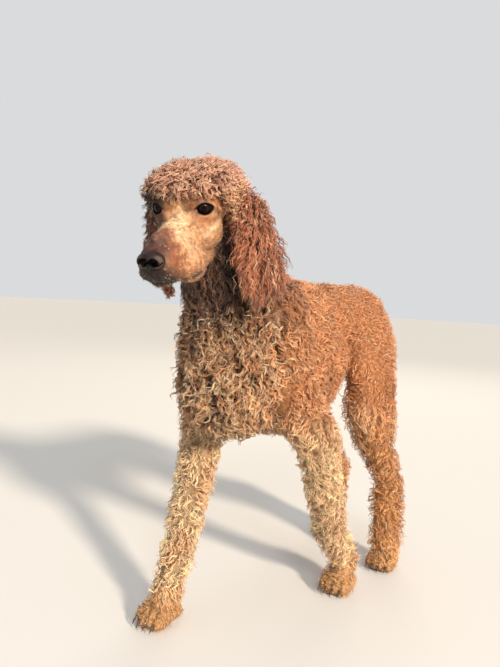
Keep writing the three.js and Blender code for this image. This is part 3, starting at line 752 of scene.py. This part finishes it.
# Where the coats grow: a mask, or a weight, for each triangle of the skin, from its place in millimetres in
# the dog's frame (x, y, z) and the head's (qx, qy, qz)
centre, zone = surface["centre"], surface["zone"]
p, q = inDogFrame(centre), inHeadFrame(centre)
(x, y, z), (qx, qy, qz) = p.T, q.T
chestShare, crown = chestShareOf(p), crownLine(q)
isBody, isHead, isPaw = (zone == zoneOf[word] for word in ("body", "head", "paw"))
onTail = isBody & (y > 262) & (z > 335) & (np.abs(x) < 34)
onNeck = (isBody & (neckShareOf(p) > 0.12) & (z > 470)) | (isHead & (qy > 62) & (qz < -12))
onLeg = isBody & ~onTail & (z < 372) & (np.abs(x) > 44)
isFront = y < 60
chestWeight = isBody * ~onLeg * smooth(chestShare, 0.35, 0.7)
onBack = isBody & ~onNeck & ~onLeg & (chestShare <= 0.2) & ~onTail
onShoulder = onBack & (y < 5)
onTopknot = isHead & ~onNeck & (crown > 0)
aboveEar = isHead & (np.abs(qx) > 40) & (qy > 46) & (qz > -30) & (crown < 26)
onEarTop = ((zone > zoneOf["paw"]) & (qz > -24)) | aboveEar
bareSkin = np.linalg.norm((q - np.array((0, -102, -40))) / np.array((18.5, 17, 15)), axis=1) < 1
for side in (1, -1):  # bare under the nose, in the sockets and at the rims of the lids
    local, ring = eyeRing(q, side, 3.4, 3.2)
    depth = np.linalg.norm(local, axis=1) - head["eyeRadius"]
    bareSkin |= (depth < 6) & (ring < 1) | (depth < 1.6)
onFace = isHead & ~onNeck & ~onTopknot & ~bareSkin

# Which way hair lies, before it is turned onto the skin
straightDown, downTheEar, alongBack = np.array([[0, 0.08, -1], [0, 0, -1], [0, 0.9, -0.5]])
headAxes = np.array(headTilt.to_3x3())


def lieOnBody(p, q, zone):
    hanging = np.clip(smooth(-p[:, 1], 60, 150) + 1 - smooth(p[:, 2], 340, 460), 0, 1)[:, None]
    return alongBack * (1 - hanging) + straightDown * hanging


def lieOnHead(p, q, zone):
    return unit(np.column_stack([q[:, 0] * 0.6, q[:, 1] - 30, np.full(len(q), 6.0)])) @ headAxes.T


def lieOnFace(p, q, zone):
    drop = np.where(q[:, 2] > -25, 0.25, -0.35)
    return unit(np.column_stack([0.25 * np.sign(q[:, 0]), np.ones(len(q)), drop])) @ headAxes.T


# How long hair is, in millimetres
def chestLength(p, q, zone):
    length = 18 + 28 * chestShareOf(p) - 6 * smooth(-p[:, 0], 30, 60)
    return length * (0.5 + 0.5 * smooth(p[:, 2], 340, 420))


# Long under the throat and short along the crest
def neckLength(p, q, zone):
    upNeck = neckShareOf(p)
    axisAt = neckFoot[1] + neckAxis[1] * upNeck
    return 17 + 14 * smooth(axisAt - p[:, 1], 0, 50) + 8 * (1 - smooth(upNeck, 0.15, 0.5))


def backLength(p, q, zone):
    return 14 + 5 * (1 - smooth(p[:, 2], 340, 440)) + 10 * chestShareOf(p)


def earLength(p, q, zone):
    low = -q[:, 2]
    return 22 + 18 * smooth(low, -10, 80) - 31 * (zone == zoneOf["earRight"]) * smooth(low, 45, 92)


def faceLength(p, q, zone):
    length = 4 + 4 * smooth(q[:, 1], 0, 60) + 6 * smooth(crownLine(q), -10, 0) + 3 * smooth(-q[:, 2], 52, 70)
    for side in (1, -1):
        length = length * (0.3 + 0.7 * smooth(eyeRing(q, side, 2, 2)[1], 1, 1.7))
    return length


# Lie and length are the same all over a coat, or functions of its roots' places. Lean is in degrees from
# upright, at the root and at the tip; curl, frizz and width are radii and wave is a curl's turn, in
# millimetres. A clump's strands share a curl and gather towards it, and a tuft's share a way. Vary is how
# much the tone differs, by clump and by strand.
allCoats = {"roll": 0.9, "flat": 0.8, "uneven": 0.14, "perTuft": 36, "tuftPull": 0.3, "tuftVary": 0.12}
chestCurls = {
    "lie": lieOnBody, "length": chestLength, "strands": 3250, "steps": 8, "perClump": 5, "lean": (24, 118),
    "curl": 3.7, "wave": 18, "roll": 0.95, "gather": 0.66, "frizz": 2.2, "stray": 0.55, "width": 0.6,
    "vary": (0.3, 0.24), "rootShadeLevel": 0}
shortCurls = {"steps": 3, "wave": 12, "gather": 0.35, "stray": 1}
legWool = {
    "lie": straightDown, "length": lambda p, q, zone: 22 + 3 * smooth(p[:, 2], 300, 380),
    "steps": 4, "perClump": 3, "lean": (16, 120), "curl": 2.5, "wave": 14, "gather": 0.45, "frizz": 2,
    "stray": 1.1, "width": 0.6}
earLocks = {
    "lie": downTheEar, "length": earLength, "strands": 2850, "steps": 6, "perClump": 4, "lean": (46, 112),
    "curl": 2.3, "wave": 13, "gather": 0.45, "frizz": 2.6, "stray": 0.28, "width": 0.5,
    "vary": (0.1, 0.2), "bleachedAndHighlit": 0.08, "tipTint": 0.24, "tuftPull": 0.18, "rootShadeLevel": 0.3}
coats = {
    "topknotCurls": {
        "where": onTopknot, "lie": lieOnHead,
        "length": lambda p, q, zone: 15 + 12 * smooth(crownLine(q), 0, 16),
        "strands": 6500, "steps": 5, "perClump": 4.5, "lean": (14, 124), "curl": 2.2, "wave": 17,
        "gather": 0.5, "frizz": 1.9, "stray": 0.75, "width": 0.54, "vary": (0.05, 0.12), "bleachedAndHighlit": 0.1,
        "tipTint": 0.3, "rootShadeLevel": 0.6, "uneven": 0.09},
    "neckCurls": {
        "where": onNeck * (1 - 0.6 * smooth(chestShare, 0.3, 0.8)), "lie": straightDown, "length": neckLength,
        "strands": 4600, "steps": 5, "perClump": 4.5, "lean": (30, 100), "curl": 2.6, "wave": 15,
        "gather": 0.55, "frizz": 2, "stray": 0.4, "width": 0.64, "vary": (0.12, 0.16), "bleachedAndHighlit": 0,
        "tipTint": 0.1, "rootShadeLevel": 0.12},
    # the dog's left chest gets more lighter clumps and tips than its right, partly as painted highlight
    "chestCurls_left": {
        **chestCurls, "where": chestWeight * (centre[:, 0] > 0), "bleachedAndHighlit": 0.34, "tipTint": 0.45},
    "chestCurls_right": {
        **chestCurls, "where": chestWeight * (centre[:, 0] <= 0), "bleachedAndHighlit": 0.2, "tipTint": 0.4},
    "shoulderCurls": {
        **shortCurls, "where": onShoulder, "lie": lieOnBody, "length": backLength, "strands": 7400,
        "perClump": 2.4, "lean": (30, 100), "curl": 1.7, "frizz": 1.8, "width": 0.6, "vary": (0.06, 0.15),
        "bleachedAndHighlit": 0.08, "tipTint": 0.3, "rootShadeLevel": 0.5},
    "backCurls": {
        **shortCurls, "where": onBack & ~onShoulder, "lie": lieOnBody, "length": backLength,
        "strands": 6800, "perClump": 2, "lean": (34, 98), "curl": 1.5, "frizz": 1.6, "width": 0.58,
        "vary": (0.05, 0.13), "bleachedAndHighlit": 0.04, "tipTint": 0.26, "rootShadeLevel": 0.55},
    "frontLegWool": {
        **legWool, "where": onLeg & isFront, "strands": 7200, "vary": (0.1, 0.18), "bleachedAndHighlit": 0.16,
        "tipTint": 0.4, "rootShadeLevel": 0.5},
    "hindLegWool": {
        **legWool, "where": onLeg & ~isFront, "strands": 5900, "vary": (0.1, 0.2), "bleachedAndHighlit": 0.08,
        "tipTint": 0.32, "rootShadeLevel": 0.4},
    "pawWool": {
        **shortCurls, "where": isPaw, "lie": straightDown,
        "length": lambda p, q, zone: 8 + 9 * smooth(p[:, 2], 20, 50),
        "strands": 2800, "perClump": 2.4, "lean": (24, 106), "curl": 1.6, "frizz": 1.6, "width": 0.6,
        "flat": 0.7, "vary": (0.08, 0.18), "bleachedAndHighlit": 0.06, "tipTint": 0.3, "rootShadeLevel": 0.45},
    "tailCurls": {
        "where": onTail, "lie": straightDown, "length": 36, "strands": 1300, "steps": 6, "perClump": 5,
        "lean": (24, 108), "curl": 3.4, "wave": 18, "gather": 0.55, "frizz": 2.2, "stray": 0.4, "width": 0.7,
        "vary": (0.12, 0.2), "bleachedAndHighlit": 0.1, "tipTint": 0.3, "rootShadeLevel": 0.2},
    "earLocks_left": {**earLocks, "where": zone == zoneOf["earLeft"]},
    "earLocks_right": {**earLocks, "where": zone == zoneOf["earRight"]},
    "earTopCurls": {
        "where": onEarTop, "lie": downTheEar, "length": 25, "strands": 1300, "steps": 6, "perClump": 4,
        "lean": (26, 112), "curl": 2.4, "wave": 15, "gather": 0.45, "frizz": 2.4, "stray": 0.35,
        "width": 0.55, "vary": (0.1, 0.2), "bleachedAndHighlit": 0.06, "tipTint": 0.18, "rootShadeLevel": 0.4},
    "faceHair": {
        "where": onFace, "lie": lieOnFace, "length": faceLength, "strands": 8000, "steps": 2,
        "perClump": 2.5, "lean": (58, 92), "curl": 0.3, "wave": 12, "roll": 0.5, "gather": 0.4,
        "frizz": 0.6, "stray": 0.3, "width": 0.32, "flat": 0.7, "vary": (0.12, 0.2), "bleachedAndHighlit": 0.05,
        "tipTint": 0.14, "rootShadeLevel": 0.6},
}
firstSeed = 40
coatPieces = {}
for i, (name, look) in enumerate(coats.items()):
    coatPieces[name] = growCoat(name, {**allCoats, **look}, firstSeed + i)

# Eyes: balls whose front is pulled out as a cornea
eyeball = {"corneaFrom": 0.8, "corneaBulge": 1.22, "gaze": 0.34}


def buildEye(side, name):
    corneaFoot = head["eyeRadius"] * eyeball["corneaFrom"]
    deselectAll()
    bpy.ops.mesh.primitive_uv_sphere_add(segments=64, ring_count=40, radius=head["eyeRadius"])
    eye = bpy.context.object
    selectAbove(eye, corneaFoot)
    bpy.ops.transform.resize(value=(1, 1, eyeball["corneaBulge"]), center_override=(0, 0, corneaFoot))
    bpy.ops.object.mode_set(mode="OBJECT")
    bpy.ops.object.shade_smooth()
    eye.name = eye.data.name = name
    gaze = Matrix.Rotation(side * eyeball["gaze"], 4, "Z") @ Matrix.Rotation(math.pi / 2, 4, "X")
    settle(eye, headPlace @ Matrix.Translation(eyeCentre(side)) @ gaze)
    return eye


eyes = [buildEye(1, "eyeball_left"), buildEye(-1, "eyeball_right")]

# Nose: a pad with two nostrils, a slit that runs out of each, and a groove between them
nose = {"halfWidth": 17.5, "massVoxel": 1.4, "voxel": 0.75, "nostril": (7, 13, 5.2), "slit": (6, 8, 1.7)}


def buildNose():
    pad = joined("noseLeather", [
        ball((0, -102, -40), (nose["halfWidth"], 16.5, 13)),
        *bothSides(lambda s: ball((s * 9, -107, -39.5), (9.8, 11.5, 10.2))),  # wings
        ball((0, -103, -48), (7, 12, 8)),  # below the groove
    ])
    melt(pad, nose["massVoxel"], 4)
    cutters = []
    for side in (1, -1):
        cutters.append(ball((side * 8, -119, -39), nose["nostril"], (0, side * 0.3, side * 0.45)))
        cutters.append(ball((side * 14.5, -114, -42.5), nose["slit"], (0, side * -0.45, side * 0.9)))
    for cutter in cutters:
        carve(pad, cutter)
    carve(pad, ball((0, -120, -45), (0.8, 6, 8)))  # groove
    melt(pad, nose["voxel"], 2)
    activate(pad)
    bpy.ops.object.shade_smooth()
    places = np.array([vert.co for vert in pad.data.vertices])
    leather = np.tile(tones["leather"], (len(places), 1))
    # painted light: the top and the dog's left side of the leather are lighter
    leather = blendTone(leather, "leatherLitTop", smooth(places[:, 2] + 0.5 * places[:, 0], -40, -27))
    for side in (1, -1):
        away = np.linalg.norm((places - np.array((side * 8, -117, -39))) / np.array((7.4, 12, 5.8)), axis=1)
        # painted highlight on each nostril's outer rim
        rim = (1 - smooth(np.abs(away - 1.3), 0.1, 0.4)) * smooth(side * places[:, 0], 5, 13)
        leather = blendTone(leather, "leatherRimHighlight", 0.8 * rim)
        # painted shadow inside each nostril
        leather = blendTone(leather, "nostrilShadow", 1 - smooth(away, 0.86, 1.04))
    paint(pad.data, "leatherTone", leather)
    settle(pad, headPlace)
    return pad


noseLeather = buildNose()

# Claws: two tapered pieces each, the second one bent down
claw = {
    "ahead": 43, "height": 17, "rootRadius": 2.9, "bendRadius": 1.8, "tipRadius": 0.7,
    "bend": Vector((0, -9, -4)), "tip": Vector((0, -13, -11)),
}


def buildClaws():
    made = []
    for x, ahead in pawPlaces:
        for i in paw["toes"]:
            clawAhead = ahead + paw["toeArc"] * abs(i) - claw["ahead"]
            base = Vector((x + i * paw["toeSpread"], clawAhead, claw["height"]))
            bend = base + claw["bend"]
            made.append(limb(base, claw["rootRadius"], bend, claw["bendRadius"], 0.8, 12))
            made.append(limb(bend, claw["bendRadius"], base + claw["tip"], claw["tipRadius"], 0.8, 12))
    whole = joined("claws", made)
    melt(whole, 0.9, 1)
    settle(whole, toRow)
    return whole


claws = buildClaws()
print("eyes, nose and claws modelled")


# Finishes: a pattern's scale is its number of repeats in a metre
def newMaterial(name, constants):
    material = bpy.data.materials.new(name)
    material.use_nodes = True
    tree = material.node_tree
    tree.nodes.clear()
    output = addNode(tree, "OutputMaterial")
    shader = addNode(tree, "BsdfPrincipled", constants)
    tree.links.new(shader.outputs["BSDF"], output.inputs["Surface"])
    return material, tree, shader


# Poodle wool: each strand has painted shade, dark at its root where the coat would shade itself, lighter at
# its tip, in patches of tone about 45 mm across. Its gloss is soft and its sheen weak, as on dry clean hair.
def woolMaterial():
    material, tree, shader = newMaterial("curly poodle wool", {
        "Roughness": 0.45, "IOR": 1.55, "Sheen Weight": 0.12})
    tone = addNode(tree, "Attribute", attribute_name="coatTone")
    along = addNode(tree, "Attribute", attribute_name="rootShadeAlongHair")
    place = addNode(tree, "TexCoord")
    patches = addNode(tree, "TexNoise", {"Vector": place.outputs["Object"], "Scale": 22.0, "Detail": 3.0})
    # painted shade: the strand's colour darkens towards its root and brightens towards its tip
    light = addNode(tree, "MapRange", {
        "Value": along.outputs["Fac"], "To Min": 0.2, "To Max": 1.14})
    vary = addNode(tree, "MapRange", {
        "Value": patches.outputs["Fac"], "From Min": 0.3, "From Max": 0.7, "To Min": 0.86, "To Max": 1.14})
    both = addNode(tree, "Math", {0: light.outputs[0], 1: vary.outputs[0]}, operation="MULTIPLY")
    shade = addNode(tree, "VectorMath", {
        0: tone.outputs["Color"], "Scale": both.outputs[0]}, operation="SCALE")
    tree.links.new(shade.outputs[0], shader.inputs["Base Color"])
    return material


# Clipped skin, matt: fine hair about 2 mm apart on the face, and on the body tight curls about 6 mm across
def skinMaterial():
    material, tree, shader = newMaterial("clipped skin", {"Roughness": 0.62, "Specular IOR Level": 0.3})
    tone = addNode(tree, "Attribute", attribute_name="coatTone")
    short = addNode(tree, "Attribute", attribute_name="shortCoat")
    place = addNode(tree, "TexCoord").outputs["Object"]
    grain = addNode(tree, "TexNoise", {"Vector": place, "Scale": 420.0, "Detail": 4.0})
    mottle = addNode(tree, "TexNoise", {"Vector": place, "Scale": 170.0, "Detail": 3.0})
    bend = addNode(tree, "TexNoise", {"Vector": place, "Scale": 240.0})
    bent = addNode(tree, "VectorMath", {
        0: bend.outputs["Color"], 1: (0.006, 0.006, 0.006), 2: place}, operation="MULTIPLY_ADD")
    curls = addNode(tree, "TexVoronoi", {"Vector": bent.outputs[0], "Scale": 165.0})
    # painted shade: each curl is lighter at its middle and darker towards its edge, where the curls meet
    pile = addNode(tree, "MapRange", {
        "Value": curls.outputs["Distance"], "From Min": 0.1, "From Max": 0.7, "To Min": 1.1, "To Max": 0.45})
    fine = addNode(tree, "MapRange", {
        "Value": mottle.outputs["Fac"], "From Min": 0.35, "From Max": 0.65, "To Min": 0.74, "To Max": 1.16})
    light = addNode(tree, "Mix", {
        0: short.outputs["Fac"], 2: fine.outputs[0], 3: pile.outputs[0]}, data_type="FLOAT")
    shade = addNode(tree, "VectorMath", {
        0: tone.outputs["Color"], "Scale": light.outputs[0]}, operation="SCALE")
    pileHeight = addNode(tree, "Math", {
        0: pile.outputs[0], 1: short.outputs["Fac"]}, operation="MULTIPLY")
    height = addNode(tree, "Math", {
        0: grain.outputs["Fac"], 1: 0.25, 2: pileHeight.outputs[0]}, operation="MULTIPLY_ADD")
    bump = addNode(tree, "Bump", {"Height": height.outputs[0], "Strength": 0.7, "Distance": 0.003})
    tree.links.new(shade.outputs[0], shader.inputs["Base Color"])
    tree.links.new(bump.outputs["Normal"], shader.inputs["Normal"])
    return material


# Wet eye: a dark brown iris about a black pupil, set by the ball's own unwrap, whose pole looks ahead, under
# the gloss of tears
def eyeMaterial():
    material, tree, shader = newMaterial("wet brown eye", {
        "Roughness": 0.08, "IOR": 1.34, "Specular IOR Level": 0.2})
    uv = addNode(tree, "UVMap", uv_map="UVMap")
    split = addNode(tree, "SeparateXYZ", {0: uv.outputs[0]})
    ramp = addNode(tree, "ValToRGB", {0: split.outputs["Y"]})
    stops = {
        0.0: "#4a3a34", 0.70: "#241813", 0.735: "#0c0604", 0.77: "#170c08", 0.86: "#28150f", 0.9: "#040202"}
    for i, (at, colour) in enumerate(stops.items()):  # from the white at the back to the pupil
        stop = ramp.color_ramp.elements[i] if i < 2 else ramp.color_ramp.elements.new(at)
        stop.position = at
        stop.color = (*hexColour(colour), 1)
    tree.links.new(ramp.outputs["Color"], shader.inputs["Base Color"])
    return material


# Nose leather: moist, pebbled in cells about 1.4 mm across, and worn in patches about 17 mm across
def noseMaterial():
    material, tree, shader = newMaterial("moist nose leather", {
        "Roughness": 0.36, "Specular IOR Level": 0.24})
    place = addNode(tree, "TexCoord").outputs["Object"]
    cells = addNode(tree, "TexVoronoi", {"Vector": place, "Scale": 700.0}, feature="DISTANCE_TO_EDGE")
    ramp = addNode(tree, "MapRange", {"Value": cells.outputs["Distance"], "From Max": 0.25})
    patches = addNode(tree, "TexNoise", {"Vector": place, "Scale": 60.0})
    painted = addNode(tree, "Attribute", attribute_name="leatherTone")
    wear = addNode(tree, "MapRange", {
        "Value": patches.outputs["Fac"], "From Min": 0.3, "From Max": 0.7, "To Min": 0.7, "To Max": 1.25})
    colour = addNode(tree, "VectorMath", {
        0: painted.outputs["Color"], "Scale": wear.outputs[0]}, operation="SCALE")
    bump = addNode(tree, "Bump", {"Height": ramp.outputs[0], "Strength": 0.45, "Distance": 0.0005})
    tree.links.new(colour.outputs[0], shader.inputs["Base Color"])
    tree.links.new(bump.outputs["Normal"], shader.inputs["Normal"])
    return material


# Claw horn: smooth, dark and mottled every 3 mm or so
def clawMaterial():
    material, tree, shader = newMaterial("dark claw horn", {"Roughness": 0.36})
    place = addNode(tree, "TexCoord")
    mottle = addNode(tree, "TexNoise", {"Vector": place.outputs["Object"], "Scale": 300.0})
    colour = addNode(tree, "Mix", {
        0: mottle.outputs["Fac"], 6: (*hexColour("#1c1512"), 1), 7: (*hexColour("#4a3a30"), 1),
    }, data_type="RGBA")
    tree.links.new(colour.outputs[2], shader.inputs["Base Color"])
    return material


# The skin's tones, with painted shade: dark where long hair would shade it, clear on the face, and darkest at
# the lids' rims
def paintSkin():
    points = surface["points"]
    zone = np.zeros(len(points), int)
    zone[surface["corners"].ravel()] = np.repeat(surface["zone"], 3)
    q, isHead = inHeadFrame(points), zone == zoneOf["head"]
    bare = isHead * (1 - smooth(crownLine(q), 2, 16)) * (1 - smooth(q[:, 1], 44, 66))
    shortCoat = (zone == zoneOf["body"]) * (1 - chestShareOf(inDogFrame(points))) + (zone == zoneOf["paw"])
    # painted shade: the skin is darker under long hair, less under short coat, and clear where the face is
    # bare
    colours = coatTones(points, zone) * np.clip(0.3 + 0.7 * bare + 0.4 * shortCoat, 0, 1)[:, None]
    for side in (1, -1):
        local, ring = eyeRing(q, side, 2.2, np.where(q[:, 2] > head["eyeHeight"], 1.5, 0.8))
        colours = blendTone(colours, "rim", (1 - smooth(ring, 0.98, 1.1)) * (local[:, 1] < 4) * isHead)
        corner = np.linalg.norm((local - np.array((-side * 11.2, -7, -1.6))) / np.array((2.4, 5, 2)), axis=1)
        colours = blendTone(colours, "tear", 0.8 * (1 - smooth(corner, 0.6, 1.2)) * isHead)
    paint(skin.data, "coatTone", colours)
    writeArray(skin.data.attributes.new("shortCoat", "FLOAT", "POINT").data, "value", shortCoat * (1 - bare))


paintSkin()
finishes = {
    "wool": woolMaterial(), "skin": skinMaterial(), "eye": eyeMaterial(), "nose": noseMaterial(),
    "claw": clawMaterial(),
}


def dress(piece, finish):
    piece.data.materials.clear()
    piece.data.materials.append(finishes[finish])
    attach(piece, "root")


dress(skin, "skin")
for name, piece in coatPieces.items():
    dress(piece, "wool")
for eye in eyes:
    dress(eye, "eye")
dress(noseLeather, "nose")
dress(claws, "claw")

fleshNodes = [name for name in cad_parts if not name.startswith("eye") and name != "nose"]
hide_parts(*fleshNodes)
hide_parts("eye_left")
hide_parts("eye_right")
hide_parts("nose")
print("dressed")

# Painted studio floor: matt, pale and even
deselectAll()
bpy.ops.mesh.primitive_plane_add(size=80, location=(0, 0, 0))
floor = bpy.context.object
floor.name = "floor"
floorPaint = newMaterial("pale studio floor", {"Base Color": (*hexColour("#d9d7d3"), 1), "Roughness": 0.8})
floor.data.materials.append(floorPaint[0])

# A soft white dome, brighter above than below
world = bpy.data.worlds.new("studio")
bpy.context.scene.world = world
world.use_nodes = True
dome = world.node_tree
lookedAt = addNode(dome, "TexCoord")
heightOf = addNode(dome, "SeparateXYZ", {0: lookedAt.outputs["Generated"]})
domeRamp = addNode(dome, "MapRange", {
    "Value": heightOf.outputs["Z"], "From Min": -0.4, "From Max": 0.7, "To Min": 0.46, "To Max": 0.7})
rays = addNode(dome, "LightPath")
domeLevel = addNode(dome, "Mix", {
    0: rays.outputs["Is Camera Ray"], 2: domeRamp.outputs[0], 3: 0.88}, data_type="FLOAT")
background = dome.nodes["Background"]
background.inputs["Color"].default_value = (*hexColour("#e6e8ea"), 1)
dome.links.new(domeLevel.outputs[0], background.inputs["Strength"])

# The low warm key is far away, so that the floor is lit evenly. The fill gives the eyes their catchlight.
lamps = {
    "key": {"kind": "SUN", "towards": (-2.7, 0.75, -1.2), "power": 5.1, "colour": "#ffeed8",
            "angle": math.radians(7)},
    "fill": {"kind": "AREA", "place": (1.56, -1.4, 1.87), "target": (0, -0.2, 0.6), "power": 20,
             "colour": "#e6edf7", "size": 0.5},
    "rim": {"kind": "AREA", "place": (-1.2, 3.4, 3.4), "target": (0, 0, 0.5), "power": 50,
            "colour": "#fff3e2", "size": 2.6},
}
for name, lamp in lamps.items():
    light = bpy.data.lights.new(name, lamp["kind"])
    light.energy, light.color = lamp["power"], hexColour(lamp["colour"])
    holder = bpy.data.objects.new(name, light)
    if lamp["kind"] == "SUN":
        light.angle = lamp["angle"]
        beam = Vector(lamp["towards"])
    else:
        light.size = lamp["size"]
        holder.location = lamp["place"]
        beam = Vector(lamp["target"]) - Vector(lamp["place"])
    holder.rotation_euler = beam.to_track_quat("-Z", "Y").to_euler()
    bpy.context.scene.collection.objects.link(holder)

# The camera, in metres, degrees and pixels of a picture 667 high
view = {
    "place": (0.614, -0.895, 0.555), "azimuth": 38.3, "pitch": 3.02, "roll": 3.17,
    "focalPixels": 585, "pictureHeight": 667, "sensor": 36,
}
azimuth, pitch, roll = (math.radians(view[key]) for key in ("azimuth", "pitch", "roll"))
ahead = Vector((-math.sin(azimuth) * math.cos(pitch), math.cos(azimuth) * math.cos(pitch), -math.sin(pitch)))
right = Vector((math.cos(azimuth), math.sin(azimuth), 0))
above = right.cross(ahead)
rightRolled = right * math.cos(roll) + above * math.sin(roll)
aboveRolled = above * math.cos(roll) - right * math.sin(roll)
cameraData = bpy.data.cameras.new("camera")
cameraData.sensor_width = view["sensor"]
cameraData.lens = view["focalPixels"] * view["sensor"] / view["pictureHeight"]
cameraData.clip_start = 0.02
camera = bpy.data.objects.new("camera", cameraData)
turn = Matrix((rightRolled, aboveRolled, -ahead)).transposed().to_4x4()
camera.matrix_world = Matrix.Translation(view["place"]) @ turn
bpy.context.scene.collection.objects.link(camera)
bpy.context.scene.camera = camera
bpy.context.scene.view_settings.view_transform = "Standard"
print("floor, light and camera placed")
